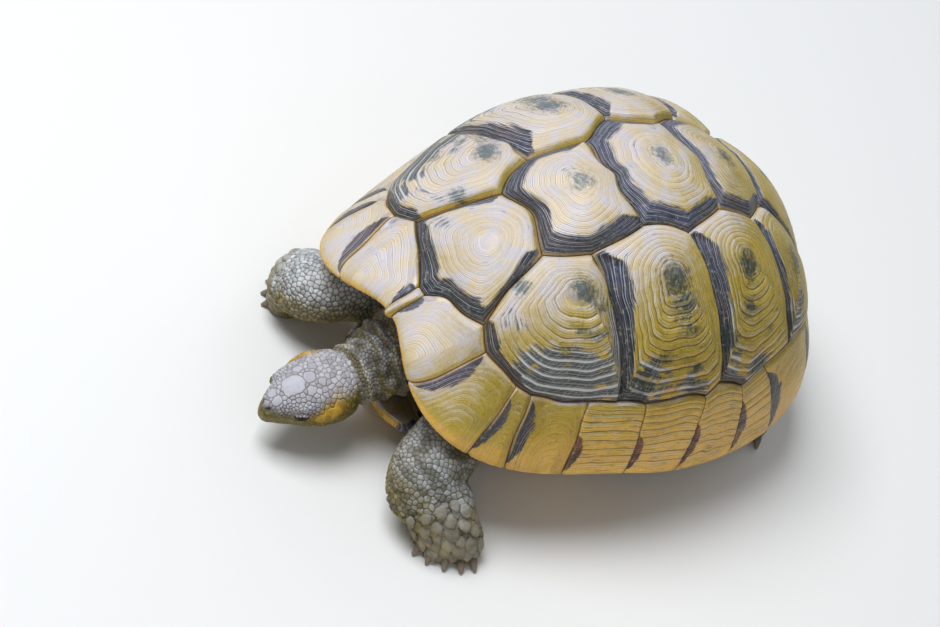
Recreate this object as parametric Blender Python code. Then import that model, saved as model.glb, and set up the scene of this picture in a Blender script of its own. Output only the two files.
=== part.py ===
"""A grown spur-thighed tortoise at life size, standing low with its head lowered.

Metres, +Z up. The head points towards -Y and the animal's left side is +X. The floor is z = 0.

Places on the upper shell are given on a flat disc: (0, 0) is the top of the dome, the first number
runs to the animal's left and the second rearward, and a distance of 1 is the widest line of the shell,
its rim. The marginal scutes run on past 1, where the shell turns under.
"""

import math

import bpy
import bmesh
import numpy as np
from mathutils import Matrix, Vector

MM = 0.001
GAP = 0.3 * MM

# The shell
SHELL_MIDDLE_Y = 10.5 * MM
PLASTRON_LIFT = 6.0 * MM
DOME_HEIGHT = 98.5 * MM
SCUTE_THICKNESS = 3.0 * MM
MARGINAL_THICKNESS = 4.0 * MM
# How far each scute stands proud of the dome at its edge, half way in and at its middle
SCUTE_CROWNS = (0.0, 0.38 * MM, 0.5 * MM)

# One row for each station round the rim: degrees from the head, reach from the middle, height, in mm
RIM_STATIONS = (
    (0, 86, 50),
    (14, 93, 43),
    (28, 93, 33.5),
    (45, 82.5, 27),
    (65, 73.5, 25.5),
    (90, 71, 19.5),
    (115, 78, 17.5),
    (140, 91.5, 20),
    (160, 97.5, 18),
    (180, 103.5, 18),
)
NUCHAL_TIP = 2.0 * MM
NUCHAL_TIP_ANGLE = 1.4

# How full the dome is towards the head, the sides and the tail: 2 is an ellipse, more is boxier
FULLNESS = {"head": 1.62, "side": 2.2, "tail": 1.92}
# How much further the rim stands out than the dome above it, and where on the disc that begins
FLARE = {"head": 0.098, "side": 0.0, "tail": 0.071}
FLARE_START = 0.72
FULLNESS_START = 0.35

# Where the rim turns under: a lip at the openings, and a bridge that slopes in and down between the legs
BRIDGE_ANGLES = (38, 46, 120, 130)
LIP_RADIUS = 1.6 * MM
LIP_RETURN = 10.5 * MM
LIP_RISE = 2.0 * MM
BRIDGE_SLOPE = 1.0
BRIDGE_FOOT = 8.0 * MM
UNDER_SIDE = 3.0 * MM
UNDER_STEP_OUT = 0.5 * MM
TURN_END = 1.1
UNDER_END = 1.2
# Rows of points across a marginal scute: shares of the way down to the rim, then places on the disc past it
MARGINAL_ROWS = (0.0, 0.55, 1.0)
TURN_ROWS = (1.05, TURN_END, UNDER_END)

# Corners where the scutes of the left side meet, on the disc
CORNERS = {
    "nuchal_v1": (0.020, -0.820),
    "v1_m1_c1": (0.200, -0.617),
    "m1_m2": (0.275, -0.635),
    "m2_m3": (0.412, -0.614),
    "m3_m4": (0.460, -0.595),
    "m4_m5": (0.603, -0.449),
    "c1_c2_m5": (0.659, -0.354),
    "m5_m6": (0.724, -0.251),
    "m6_m7": (0.752, 0.037),
    "c2_c3_m7": (0.716, 0.092),
    "m7_m8": (0.722, 0.233),
    "m8_m9": (0.640, 0.325),
    "c3_c4_m9": (0.565, 0.415),
    "m9_m10": (0.447, 0.552),
    "m10_m11": (0.338, 0.636),
    "v5_c4_m11": (0.270, 0.668),
    "v5_m11": (0.141, 0.726),
    "v1_v2_c1": (0.106, -0.375),
    "v2_c1_c2": (0.174, -0.260),
    "v2_v3_c2": (0.170, -0.112),
    "v3_c2_c3": (0.242, 0.033),
    "v3_v4_c3": (0.151, 0.160),
    "v4_c3_c4": (0.180, 0.279),
    "v4_v5_c4": (0.122, 0.357),
}
# The left edge of each vertebral scute from head to tail; the right edge mirrors it
VERTEBRALS = (
    ("nuchal_v1", "v1_m1_c1", "v1_v2_c1"),
    ("v1_v2_c1", "v2_c1_c2", "v2_v3_c2"),
    ("v2_v3_c2", "v3_c2_c3", "v3_v4_c3"),
    ("v3_v4_c3", "v4_c3_c4", "v4_v5_c4"),
    ("v4_v5_c4", "v5_c4_m11", "v5_m11"),
)
COSTALS = (
    ("v1_m1_c1", "m1_m2", "m2_m3", "m3_m4", "m4_m5", "c1_c2_m5", "v2_c1_c2", "v1_v2_c1"),
    ("c1_c2_m5", "m5_m6", "m6_m7", "c2_c3_m7", "v3_c2_c3", "v2_v3_c2", "v2_c1_c2"),
    ("c2_c3_m7", "m7_m8", "m8_m9", "c3_c4_m9", "v4_c3_c4", "v3_v4_c3", "v3_c2_c3"),
    ("c3_c4_m9", "m9_m10", "m10_m11", "v5_c4_m11", "v4_v5_c4", "v4_c3_c4"),
)
# The upper edge of each marginal scute from head to tail
MARGINALS = (
    ("nuchal_v1", "v1_m1_c1", "m1_m2"),
    ("m1_m2", "m2_m3"),
    ("m2_m3", "m3_m4"),
    ("m3_m4", "m4_m5"),
    ("m4_m5", "c1_c2_m5", "m5_m6"),
    ("m5_m6", "m6_m7"),
    ("m6_m7", "c2_c3_m7", "m7_m8"),
    ("m7_m8", "m8_m9"),
    ("m8_m9", "c3_c4_m9", "m9_m10"),
    ("m9_m10", "m10_m11"),
    ("m10_m11", "v5_c4_m11", "v5_m11"),
)
# Degrees from the head where each seam between marginals meets the rim
RIM_SEAMS = (1.4, 14, 32, 40.5, 54.5, 73.5, 93, 112.5, 126, 141, 155, 168)
# The longest stretch of seam between two points, on the disc
SEAM_STEP = 0.15

# The plastron: distance rearward of the shell's middle and half width, in mm
PLASTRON_OUTLINE = (
    (-79, 12),
    (-73, 23),
    (-63, 30),
    (-53, 34),
    (-46, 38),
    (-41, 44),
    (-24, 48.5),
    (-10, 53.5),
    (4, 57.5),
    (20, 60),
    (37, 58.5),
    (45, 41),
    (58, 35),
    (72, 28.5),
    (81, 18),
)
PLASTRON_ACROSS = (-1.0, -0.96, -0.92, -0.87, -0.45, 0.0, 0.45, 0.87, 0.92, 0.96, 1.0)
PLASTRON_THICKNESS = 4.0 * MM
PLASTRON_BRIDGE_START = 0.87
PLASTRON_BRIDGE_FRONT = (-47 * MM, -40 * MM)
PLASTRON_BRIDGE_REAR = (37 * MM, 46 * MM)
GULAR_RISE = 4.0 * MM
GULAR_BEND = (-62 * MM, -80 * MM)

# The trunk inside the shell
TRUNK_UNDER_SCUTES = 6.0 * MM
TRUNK_BEHIND_LIP = 18.0 * MM
TRUNK_FOOT_BEHIND_LIP = 29.0 * MM
TRUNK_ABOVE_PLASTRON = 1.0 * MM
TRUNK_SHOULDER = 4.0 * MM
TRUNK_RINGS = (0.18, 0.36, 0.52, 0.66)
TRUNK_SIDES = 28

# The head: distance forward of its back, half width, top and underside, in mm
HEAD_STATIONS = (
    (0, 10.6, 8.6, -8.4),
    (3.5, 12.2, 9.9, -9.6),
    (8, 12.9, 10.5, -10.2),
    (13, 12.4, 10.5, -10.0),
    (18, 11.0, 10.2, -9.4),
    (22, 9.3, 9.5, -8.7),
    (25.7, 7.2, 8.0, -8.0),
    (29, 5.2, 5.7, -7.2),
    (31.5, 3.2, 3.2, -6.2),
    (32.7, 1.6, 0.8, -4.6),
)
# Sections squarer than an oval at the sides and the top, and widest low down at the cheeks
HEAD_SIDE_POWER = 0.85
HEAD_TOP_POWER = 0.9
HEAD_CHEEKS = 0.10
HEAD_PLACE = (-0.5, -80, 22)
HEAD_DOWN = 8.0
HEAD_TURN = 1.0
HEAD_RING_POINTS = 20
MOUTH_HEIGHT = -4.6 * MM
MOUTH_CORNER = 13.0 * MM
EYE_RADIUS = 3.0 * MM
EYE_PLACE = (6.8, 22.7, 1.6)
EYE_RINGS = 7
EYE_SIDES = 14

# The neck: place of each ring and its half width and half height, in mm
NECK_STATIONS = (
    ((0, -48, 34), 17, 15),
    ((0, -62, 30), 15, 13.5),
    ((-0.3, -72.5, 25), 12.5, 11),
)

# Each leg from the body down to the wrist or ankle, then the foot down to the floor, in mm:
# place of each ring, half width and half depth. The first named row of a foot is where it is parted.
FORELEG_LEFT = (
    ((27, -42, 27), 12, 12),
    ((35, -60, 24.5), 12.5, 12),
    ((43, -73, 20), 13.5, 11.5),
    ((51, -73, 14.5), 14, 9.5),
)
FOREFOOT_LEFT = (
    ((56.5, -70, 9), 13.5, 8),
    ((59, -68, 3.5), 12.8, 7.5),
    ((59.5, -67.5, 0), 12, 7),
)
FORELEG_RIGHT = (
    ((-25, -42, 27), 12, 12),
    ((-33, -57, 24), 12.5, 12),
    ((-39.5, -68, 20), 13.5, 11.5),
    ((-47, -69, 14.5), 14, 9.5),
)
FOREFOOT_RIGHT = (
    ((-50.5, -67, 9), 13.5, 8),
    ((-51.5, -65.5, 3.5), 12.8, 7.5),
    ((-51, -65, 0), 12, 7),
)
HINDLEG = (
    ((33, 52, 28), 12, 12),
    ((41, 62, 22), 11, 11),
    ((46, 70, 15), 10.3, 10.3),
)
HINDFOOT = (
    ((48.5, 74, 9), 9.6, 9.6),
    ((50, 75.5, 3.5), 9.4, 9.2),
    ((50.5, 76, 0), 8.6, 8.4),
)
TAIL = (
    ((0, 84, 17), 8, 7),
    ((1, 98, 15), 6.4, 5.6),
    ((4, 106, 13), 4.6, 4.2),
    ((8, 110.5, 11.5), 2.0, 2.0),
)
TAIL_SIDES = 10
LEG_RING_POINTS = 12
# Below the first height a limb's rings begin to turn level, and below the second they are
LEVELLING_HEIGHTS = (22 * MM, 6 * MM)
LEFT_FORE_HEADING = (0.8, -0.6, 0)
RIGHT_FORE_HEADING = (-0.8, -0.6, 0)
LEFT_HIND_HEADING = (0.5, -0.85, 0)
RIGHT_HIND_HEADING = (-0.7, -0.7, 0)

# Claws: five on a forefoot and four on a hind foot, round the front edge of the sole
FORE_CLAWS = 5
HIND_CLAWS = 4
CLAW_SPREAD = 116
CLAW_RADIUS = 1.7 * MM
CLAW_SIDES = 6
# Shares of the sole's half depth and half width at which the roots stand, and how far the tips reach on
CLAW_ROOT_DEPTH = 0.7
CLAW_ROOT_WIDTH = 0.8
CLAW_INSIDE_FOOT = 0.3
CLAW_PROUD = 3.9 * MM
CLAW_ROOT_HEIGHT = 2.55 * MM
CLAW_TIP_HEIGHT = 1.02 * MM
# Share of the way to the tip, and thickness there
CLAW_PROFILE = ((0.0, 1.0), (0.62, 0.85), (1.0, 0.3))

COLOURS = {
    "scute": ((0.62, 0.47, 0.22), 0.45),
    "plastron": ((0.50, 0.38, 0.18), 0.5),
    "skin": ((0.20, 0.18, 0.14), 0.7),
    "eye": ((0.02, 0.015, 0.01), 0.1),
}


def clear_scene():
    for thing in list(bpy.data.objects):
        bpy.data.objects.remove(thing)


def finish(name, colour, roughness):
    """A plain material for one object."""
    material = bpy.data.materials.new(name)
    material.use_nodes = True
    shader = material.node_tree.nodes["Principled BSDF"]
    shader.inputs["Base Color"].default_value = (*colour, 1.0)
    shader.inputs["Roughness"].default_value = roughness
    shader.inputs["Metallic"].default_value = 0.0
    return material


def build(name, points, faces, slot):
    """An object from points and faces, its faces turned outward and shaded smooth."""
    mesh = bpy.data.meshes.new(name)
    mesh.from_pydata([tuple(p) for p in points], [], faces)
    shape = bmesh.new()
    shape.from_mesh(mesh)
    bmesh.ops.recalc_face_normals(shape, faces=shape.faces)
    if shape.calc_volume(signed=True) < 0:
        bmesh.ops.reverse_faces(shape, faces=shape.faces)
    shape.to_mesh(mesh)
    shape.free()
    mesh.shade_smooth()
    mesh.set_sharp_from_angle(angle=math.radians(40))
    mesh.materials.append(finish(name, *COLOURS[slot]))
    thing = bpy.data.objects.new(name, mesh)
    bpy.context.scene.collection.objects.link(thing)
    return thing


def hide(thing):
    """Makes an object a helper that only cuts others."""
    thing.hide_render = True
    thing.display_type = "WIRE"
    return thing


def cut(thing, helper, operation="DIFFERENCE"):
    step = thing.modifiers.new(helper.name, "BOOLEAN")
    step.operation = operation
    step.solver = "EXACT"
    step.object = helper


def smooth_step(low, high, value):
    t = np.clip((value - low) / (high - low), 0.0, 1.0)
    return t * t * (3 - 2 * t)


def mix(a, b, share):
    return a + (b - a) * share


def unit(vectors):
    return vectors / np.linalg.norm(vectors, axis=-1, keepdims=True)


class LevelEndSpline:
    """The smooth curve through the stations, level at both ends, where the shell mirrors."""

    def __init__(self, places, values):
        self.places = np.array(places, float)
        self.values = np.array(values, float)
        steps = np.diff(self.places)
        slopes = np.diff(self.values) / steps
        count = len(self.places)
        system = np.zeros((count, count))
        wanted = np.zeros(count)
        for i in range(1, count - 1):
            system[i, i - 1 : i + 2] = (steps[i - 1], 2 * (steps[i - 1] + steps[i]), steps[i])
            wanted[i] = 6 * (slopes[i] - slopes[i - 1])
        system[0, :2] = (2 * steps[0], steps[0])
        wanted[0] = 6 * slopes[0]
        system[-1, -2:] = (steps[-1], 2 * steps[-1])
        wanted[-1] = -6 * slopes[-1]
        self.bends = np.linalg.solve(system, wanted)

    def __call__(self, at):
        i = np.clip(np.searchsorted(self.places, at) - 1, 0, len(self.places) - 2)
        step = self.places[i + 1] - self.places[i]
        left = (self.places[i + 1] - at) / step
        right = 1 - left
        bend = (left**3 - left) * self.bends[i] + (right**3 - right) * self.bends[i + 1]
        return left * self.values[i] + right * self.values[i + 1] + bend * step**2 / 6


STATION_ANGLES, STATION_REACHES, STATION_HEIGHTS = np.array(RIM_STATIONS).T
RIM_REACH = LevelEndSpline(np.radians(STATION_ANGLES), STATION_REACHES * MM)
RIM_HEIGHT = LevelEndSpline(np.radians(STATION_ANGLES), STATION_HEIGHTS * MM)


def by_direction(table, cosine):
    """A value that changes from head to side to tail."""
    head = np.clip(cosine, 0, 1) ** 2
    tail = np.clip(-cosine, 0, 1) ** 2
    return table["head"] * head + table["tail"] * tail + table["side"] * (1 - head - tail)


def bridge_share(angle):
    """1 between the legs, where the shell turns under in a bridge, and 0 at the openings."""
    degrees = np.degrees(np.abs(angle))
    rear = smooth_step(BRIDGE_ANGLES[2], BRIDGE_ANGLES[3], degrees)
    return smooth_step(BRIDGE_ANGLES[0], BRIDGE_ANGLES[1], degrees) * (1 - rear)


def rim_reach(angle):
    turn = np.abs(angle)
    tip = NUCHAL_TIP * np.exp(-((np.degrees(turn) / NUCHAL_TIP_ANGLE) ** 2))
    return RIM_REACH(turn) + tip


def shell_point(left, back):
    """The outer surface of the shell at a place on the disc."""
    out = np.hypot(left, back)
    angle = np.arctan2(left, -back)
    cosine = np.cos(angle)
    rim = rim_reach(angle)
    rim_height = RIM_HEIGHT(np.abs(angle))
    spread = np.sin(np.clip(out, 0, 1) * math.pi / 2)
    full = 2 + (by_direction(FULLNESS, cosine) - 2) * smooth_step(0, FULLNESS_START, out)
    flare = by_direction(FLARE, cosine)
    reach = rim * (spread * (1 - flare) + flare * smooth_step(FLARE_START, 1, out))
    height = rim_height + (DOME_HEIGHT - rim_height) * np.clip(1 - spread**full, 0, 1) ** (1 / full)
    bridge = bridge_share(angle)
    turn = np.clip((out - 1) / (TURN_END - 1), 0, 1) * math.pi / 2
    under = np.clip((out - TURN_END) / (UNDER_END - TURN_END), 0, 1)
    bridge_drop = rim_height - LIP_RADIUS - BRIDGE_FOOT
    drawn_in = under * mix(LIP_RETURN, BRIDGE_SLOPE * bridge_drop, bridge)
    reach = reach - LIP_RADIUS * (1 - np.cos(turn)) - drawn_in
    height = height - LIP_RADIUS * np.sin(turn) + under * mix(LIP_RISE, -bridge_drop, bridge)
    return np.stack(
        [
            np.sin(angle) * reach,
            SHELL_MIDDLE_Y - np.cos(angle) * reach,
            PLASTRON_LIFT + height,
        ],
        axis=-1,
    )


def shell_normal(left, back):
    step = 1e-3
    along_left = shell_point(left + step, back) - shell_point(left - step, back)
    along_back = shell_point(left, back + step) - shell_point(left, back - step)
    return unit(np.cross(along_left, along_back))


def corner(name, side=1):
    left, back = CORNERS[name]
    return np.array((side * left, back))


def seam_path(corners):
    """Straight seams through the corners, in steps that every neighbour shares."""
    path = [corners[0]]
    for start, end in zip(corners, corners[1:]):
        steps = max(1, round(float(np.linalg.norm(end - start)) / SEAM_STEP))
        path += [mix(start, end, k / steps) for k in range(1, steps + 1)]
    return np.array(path)


def inset(points, normals, centre, distance):
    """Draws a closed outline in towards its centre by the same distance along every side."""
    before = unit(points - np.roll(points, 1, axis=0))
    after = unit(np.roll(points, -1, axis=0) - points)
    inward_before = unit(np.cross(normals, before))
    inward_after = unit(np.cross(normals, after))
    if np.sum(inward_after * (centre - points)) < 0:
        inward_before = -inward_before
        inward_after = -inward_after
    together = inward_before + inward_after
    spread = 1 + np.sum(inward_before * inward_after, axis=1, keepdims=True)
    return points + distance * together / spread


def scute(name, outline):
    """A slab of the dome inside a closed outline on the disc, highest at its middle."""
    centre = outline.mean(axis=0)
    count = len(outline)
    half_way = mix(centre, outline, 0.5)
    rim = shell_point(*outline.T)
    rim_normals = shell_normal(*outline.T)
    middle = shell_point(*centre)
    rim = inset(rim, rim_normals, middle, GAP / 2)
    rings = [rim, shell_point(*half_way.T), middle[None]]
    normals = [rim_normals, shell_normal(*half_way.T), shell_normal(*centre)[None]]
    outer = np.concatenate([r + n * h for r, n, h in zip(rings, normals, SCUTE_CROWNS)])
    inner = np.concatenate([r - n * SCUTE_THICKNESS for r, n in zip(rings, normals)])
    faces = []
    under = len(outer)
    for i in range(count):
        j = (i + 1) % count
        faces.append((i, j, count + j, count + i))
        faces.append((count + i, count + j, 2 * count))
        faces.append((under + i, under + count + i, under + count + j, under + j))
        faces.append((under + count + i, under + 2 * count, under + count + j))
        faces.append((i, under + i, under + j, j))
    return build(name, np.concatenate([outer, inner]), faces, "scute")


def marginal(name, upper_edge, start_angle, end_angle):
    """A scute of the rim: from its upper edge out to the rim, round it and back underneath."""
    columns = len(upper_edge)
    rows = len(MARGINAL_ROWS) + len(TURN_ROWS)
    upper_angles = np.arctan2(upper_edge[:, 0], -upper_edge[:, 1])
    # The supracaudal scute spans the tail, where the angle jumps from half a turn to minus half a turn.
    upper_angles = np.where(upper_angles < start_angle - math.pi / 2, upper_angles + 2 * math.pi, upper_angles)
    upper_reach = np.hypot(*upper_edge.T)
    rim_angles = np.linspace(start_angle, end_angle, columns)
    outer = np.zeros((columns, rows, 3))
    for k, share in enumerate(MARGINAL_ROWS):
        angle = mix(upper_angles, rim_angles, share)
        reach = mix(upper_reach, 1.0, share)
        outer[:, k] = shell_point(reach * np.sin(angle), -reach * np.cos(angle))
    for k, reach in enumerate(TURN_ROWS, len(MARGINAL_ROWS)):
        outer[:, k] = shell_point(reach * np.sin(rim_angles), -reach * np.cos(rim_angles))
    upper_normals = shell_normal(*upper_edge.T)
    inner_top = outer[:, 0] - upper_normals * MARGINAL_THICKNESS
    outward = np.stack([np.sin(rim_angles), -np.cos(rim_angles), np.zeros(columns)], axis=-1)
    inner_end = outer[:, -1] - outward * UNDER_STEP_OUT + np.array((0, 0, UNDER_SIDE))
    shares = np.linspace(0, 1, rows)[None, :, None]
    inner = inner_top[:, None] * (1 - shares) + inner_end[:, None] * shares
    down = unit(outer[:, 1] - outer[:, 0]) * GAP / 2
    outer[:, 0] += down
    inner[:, 0] += down
    around = np.stack([np.cos(rim_angles), np.sin(rim_angles), np.zeros(columns)], axis=-1) * GAP / 2
    for block in (outer, inner):
        block[0] += around[0]
        block[-1] -= around[-1]
    return build(name, *closed_sheet(outer, inner), "scute")


def closed_sheet(outer, inner):
    """The points and faces of a solid between two grids of the same size."""
    columns, rows = outer.shape[:2]
    points = np.concatenate([outer.reshape(-1, 3), inner.reshape(-1, 3)])
    under = columns * rows
    faces = []
    for i in range(columns - 1):
        for k in range(rows - 1):
            a = i * rows + k
            faces.append((a, a + rows, a + rows + 1, a + 1))
            faces.append((under + a, under + a + 1, under + a + rows + 1, under + a + rows))
    edge = [i * rows for i in range(columns)]
    edge += [(columns - 1) * rows + k for k in range(1, rows)]
    edge += [i * rows + rows - 1 for i in range(columns - 2, -1, -1)]
    edge += list(range(rows - 2, 0, -1))
    for a, b in zip(edge, edge[1:] + edge[:1]):
        # The diagonal runs the same way on both sides of a shared seam, so twisted walls stay apart.
        if a < b:
            faces += [(a, under + a, under + b), (a, under + b, b)]
        else:
            faces += [(a, under + a, b), (under + a, under + b, b)]
    return points, faces


def carapace():
    """All the scutes of the upper shell."""
    for number, names in enumerate(VERTEBRALS, 1):
        left = [corner(n) for n in names]
        right = [corner(n, -1) for n in reversed(names)]
        scute(f"vertebral_{number}", seam_path(left + right + left[:1])[:-1])
    for side_name, side in (("left", 1), ("right", -1)):
        for number, names in enumerate(COSTALS, 1):
            corners = [corner(n, side) for n in names]
            scute(f"costal_{side_name}_{number}", seam_path(corners + corners[:1])[:-1])
        for number, names in enumerate(MARGINALS, 1):
            edge = seam_path([corner(n, side) for n in names])
            start, end = np.radians(RIM_SEAMS[number - 1 : number + 1]) * side
            if side < 0:
                edge, start, end = edge[::-1], end, start
            marginal(f"marginal_{side_name}_{number}", edge, start, end)
    first = math.radians(RIM_SEAMS[0])
    marginal("nuchal", seam_path([corner("nuchal_v1", -1), corner("nuchal_v1")]), -first, first)
    last = math.radians(RIM_SEAMS[-1])
    back_edge = seam_path([corner("v5_m11"), corner("v5_m11", -1)])
    marginal("supracaudal", back_edge, last, 2 * math.pi - last)


def plastron():
    """The lower shell: a plate with a turned-up front, and a bridge up to the rim on each side."""
    across = np.array(PLASTRON_ACROSS)
    rows = np.array(PLASTRON_OUTLINE) * MM
    bottom = np.zeros((len(rows), len(across), 3))
    for i, (back, half_width) in enumerate(rows):
        bridge = smooth_step(*PLASTRON_BRIDGE_FRONT, back) * (1 - smooth_step(*PLASTRON_BRIDGE_REAR, back))
        rise = bridge * BRIDGE_FOOT * smooth_step(PLASTRON_BRIDGE_START, 1, np.abs(across))
        rise = rise + GULAR_RISE * smooth_step(*GULAR_BEND, back)
        bottom[i, :, 0] = across * half_width
        bottom[i, :, 1] = SHELL_MIDDLE_Y + back
        bottom[i, :, 2] = PLASTRON_LIFT + rise
    top = bottom + np.array((0, 0, PLASTRON_THICKNESS))
    return build("plastron", *closed_sheet(bottom, top), "plastron")


def ring_solid(name, rings, slot):
    """A closed solid through rings of points, with a fan over each end."""
    rings = [np.asarray(ring) for ring in rings]
    count = len(rings[0])
    points = np.concatenate(rings + [rings[0].mean(axis=0)[None], rings[-1].mean(axis=0)[None]])
    first_middle = len(rings) * count
    faces = []
    for r in range(len(rings) - 1):
        for i in range(count):
            j = (i + 1) % count
            near, far = r * count, (r + 1) * count
            faces.append((near + i, near + j, far + j))
            faces.append((near + i, far + j, far + i))
    last = (len(rings) - 1) * count
    for i in range(count):
        j = (i + 1) % count
        faces.append((j, i, first_middle))
        faces.append((last + i, last + j, first_middle + 1))
    return build(name, points, faces, slot)


def trunk(name, grow=0.0):
    """The body inside the shell, from under the scutes down to the plastron."""
    angles = np.linspace(0, 2 * math.pi, TRUNK_SIDES, endpoint=False)
    folded = np.where(angles > math.pi, angles - 2 * math.pi, angles)
    rings = []
    for out in TRUNK_RINGS:
        left, back = out * np.sin(angles), -out * np.cos(angles)
        surface = shell_point(left, back)
        rings.append(surface - shell_normal(left, back) * (TRUNK_UNDER_SCUTES - grow))
    rim = RIM_REACH(np.abs(folded))
    shoulder = RIM_HEIGHT(np.abs(folded)) + TRUNK_SHOULDER
    foot = np.full_like(shoulder, PLASTRON_THICKNESS + TRUNK_ABOVE_PLASTRON - grow)
    for behind, level in ((TRUNK_BEHIND_LIP, shoulder), (TRUNK_FOOT_BEHIND_LIP, foot)):
        reach = rim - behind + grow
        row = [np.sin(angles) * reach, SHELL_MIDDLE_Y - np.cos(angles) * reach, PLASTRON_LIFT + level]
        rings.append(np.stack(row, axis=-1))
    return ring_solid(name, rings, "skin")


def smooth_route(rows, steps):
    """Points between the rows on a smooth curve through them; each row is one flat list of numbers."""
    rows = np.array(rows, float)
    padded = np.concatenate([2 * rows[:1] - rows[1:2], rows, 2 * rows[-1:] - rows[-2:-1]])
    route = []
    for i in range(1, len(padded) - 2):
        p0, p1, p2, p3 = padded[i - 1 : i + 3]
        for k in range(steps):
            t = k / steps
            route.append(
                0.5 * (2 * p1 + (p2 - p0) * t + (2 * p0 - 5 * p1 + 4 * p2 - p3) * t**2
                       + (3 * p1 - p0 - 3 * p2 + p3) * t**3)
            )
    return np.array(route + [rows[-1]])


def flat_rows(stations):
    return [(*place, width, depth) for place, width, depth in stations]


def limb_rings(stations, count, across, stands=False):
    """Oval rings square to a limb's route, turned level near the floor where the limb stands on it."""
    route = smooth_route(flat_rows(stations), 2) * MM
    places = route[:, :3]
    along = unit(np.gradient(places, axis=0))
    if stands:
        level = smooth_step(*LEVELLING_HEIGHTS, places[:, 2:])
        along = unit(mix(along, np.array((0, 0, -1.0)), level))
    turns = np.linspace(0, 2 * math.pi, count, endpoint=False)
    rings = []
    for place, forward, width, depth in zip(places, along, route[:, 3], route[:, 4]):
        side = unit(np.cross(forward, np.cross(across, forward)))
        other = np.cross(forward, side)
        oval = np.outer(np.cos(turns) * width, side) + np.outer(np.sin(turns) * depth, other)
        rings.append(place + oval)
    return rings, along


def claws(foot, stations, heading, number):
    """Joins a row of blunt claws to the front edge of a foot."""
    place, width, depth = stations[-1]
    ahead = Vector(heading).normalized()
    side = Vector((ahead.y, -ahead.x, 0))
    for k in range(number):
        turn = math.radians(CLAW_SPREAD) * (k / (number - 1) - 0.5)
        facing = ahead * math.cos(turn / 2) + side * math.sin(turn / 2)
        root_ahead = ahead * math.cos(turn) * depth * CLAW_ROOT_DEPTH
        root_aside = side * math.sin(turn) * width * CLAW_ROOT_WIDTH
        root = (Vector(place) + root_ahead + root_aside) * MM
        tip = root + facing * (depth * CLAW_INSIDE_FOOT * MM + CLAW_PROUD)
        root.z = CLAW_ROOT_HEIGHT
        tip.z = CLAW_TIP_HEIGHT
        cut(foot, claw_shape(f"{foot.name}_claw_{k + 1}", root, tip), "UNION")


def claw_shape(name, root, tip):
    forward = (tip - root).normalized()
    side = forward.cross(Vector((0, 0, 1))).normalized()
    above = side.cross(forward)
    rings = []
    for share, radius in CLAW_PROFILE:
        middle = root.lerp(tip, share)
        ring = []
        for k in range(CLAW_SIDES):
            turn = 2 * math.pi * k / CLAW_SIDES
            offset = side * math.cos(turn) + above * math.sin(turn)
            ring.append(middle + offset * radius * CLAW_RADIUS)
        rings.append(np.array(ring))
    return hide(ring_solid(name, rings, "skin"))


def leg(leg_name, foot_name, leg_stations, foot_stations, heading, claw_number, trunk_clearance):
    """A leg and its foot, modelled as one and parted at the wrist or ankle."""
    across = np.cross((0, 0, 1), heading)
    stations = list(leg_stations) + list(foot_stations)
    rings, along = limb_rings(stations, LEG_RING_POINTS, across, stands=True)
    parting = 2 * len(leg_stations)
    offset = along[parting] * GAP / 2
    upper = ring_solid(leg_name, rings[:parting] + [rings[parting] - offset], "skin")
    cut(upper, trunk_clearance)
    foot = ring_solid(foot_name, [rings[parting] + offset] + rings[parting + 1 :], "skin")
    claws(foot, foot_stations, heading, claw_number)


def mirrored(stations):
    return [((-x, y, z), width, depth) for (x, y, z), width, depth in stations]


def legs(trunk_clearance):
    left_hind = HINDLEG, HINDFOOT, LEFT_HIND_HEADING, HIND_CLAWS
    right_hind = mirrored(HINDLEG), mirrored(HINDFOOT), RIGHT_HIND_HEADING, HIND_CLAWS
    left_fore = FORELEG_LEFT, FOREFOOT_LEFT, LEFT_FORE_HEADING, FORE_CLAWS
    right_fore = FORELEG_RIGHT, FOREFOOT_RIGHT, RIGHT_FORE_HEADING, FORE_CLAWS
    leg("foreleg_left", "forefoot_left", *left_fore, trunk_clearance)
    leg("foreleg_right", "forefoot_right", *right_fore, trunk_clearance)
    leg("hindleg_left", "hindfoot_left", *left_hind, trunk_clearance)
    leg("hindleg_right", "hindfoot_right", *right_hind, trunk_clearance)


def head_frame():
    """Turns head coordinates (left, forward, up) into the tortoise's."""
    turn = Matrix.Rotation(math.radians(HEAD_TURN), 4, "Z")
    down = Matrix.Rotation(math.radians(HEAD_DOWN), 4, "X")
    return Matrix.Translation(Vector(HEAD_PLACE) * MM) @ turn @ down @ Matrix.Diagonal((1, -1, 1, 1))


def head_ring(forward, half_width, top, bottom):
    """One section of the head: full above and flatter below, with the cheeks widest low down."""
    turns = np.linspace(0, 2 * math.pi, HEAD_RING_POINTS, endpoint=False)
    cosine, sine = np.cos(turns), np.sin(turns)
    left = np.sign(cosine) * np.abs(cosine) ** HEAD_SIDE_POWER * half_width * (1 - HEAD_CHEEKS * sine)
    middle = (top + bottom) / 2
    up = middle + np.sign(sine) * np.abs(sine) ** HEAD_TOP_POWER * (top - bottom) / 2
    return np.stack([left, np.full_like(left, forward), up], axis=-1) * MM


def place_in_head(points, frame):
    return np.array([frame @ Vector(p) for p in points])


def head_rings(frame):
    rows = smooth_route(HEAD_STATIONS, 2)
    return [place_in_head(head_ring(*row), frame) for row in rows]


def head_block(name, frame, low, high):
    """A box in head coordinates, for cutting."""
    corners = [(x, y, z) for x in (low[0], high[0]) for y in (low[1], high[1]) for z in (low[2], high[2])]
    faces = [(0, 1, 3, 2), (4, 6, 7, 5), (0, 4, 5, 1), (2, 3, 7, 6), (0, 2, 6, 4), (1, 5, 7, 3)]
    return hide(build(name, place_in_head(corners, frame), faces, "skin"))


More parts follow.
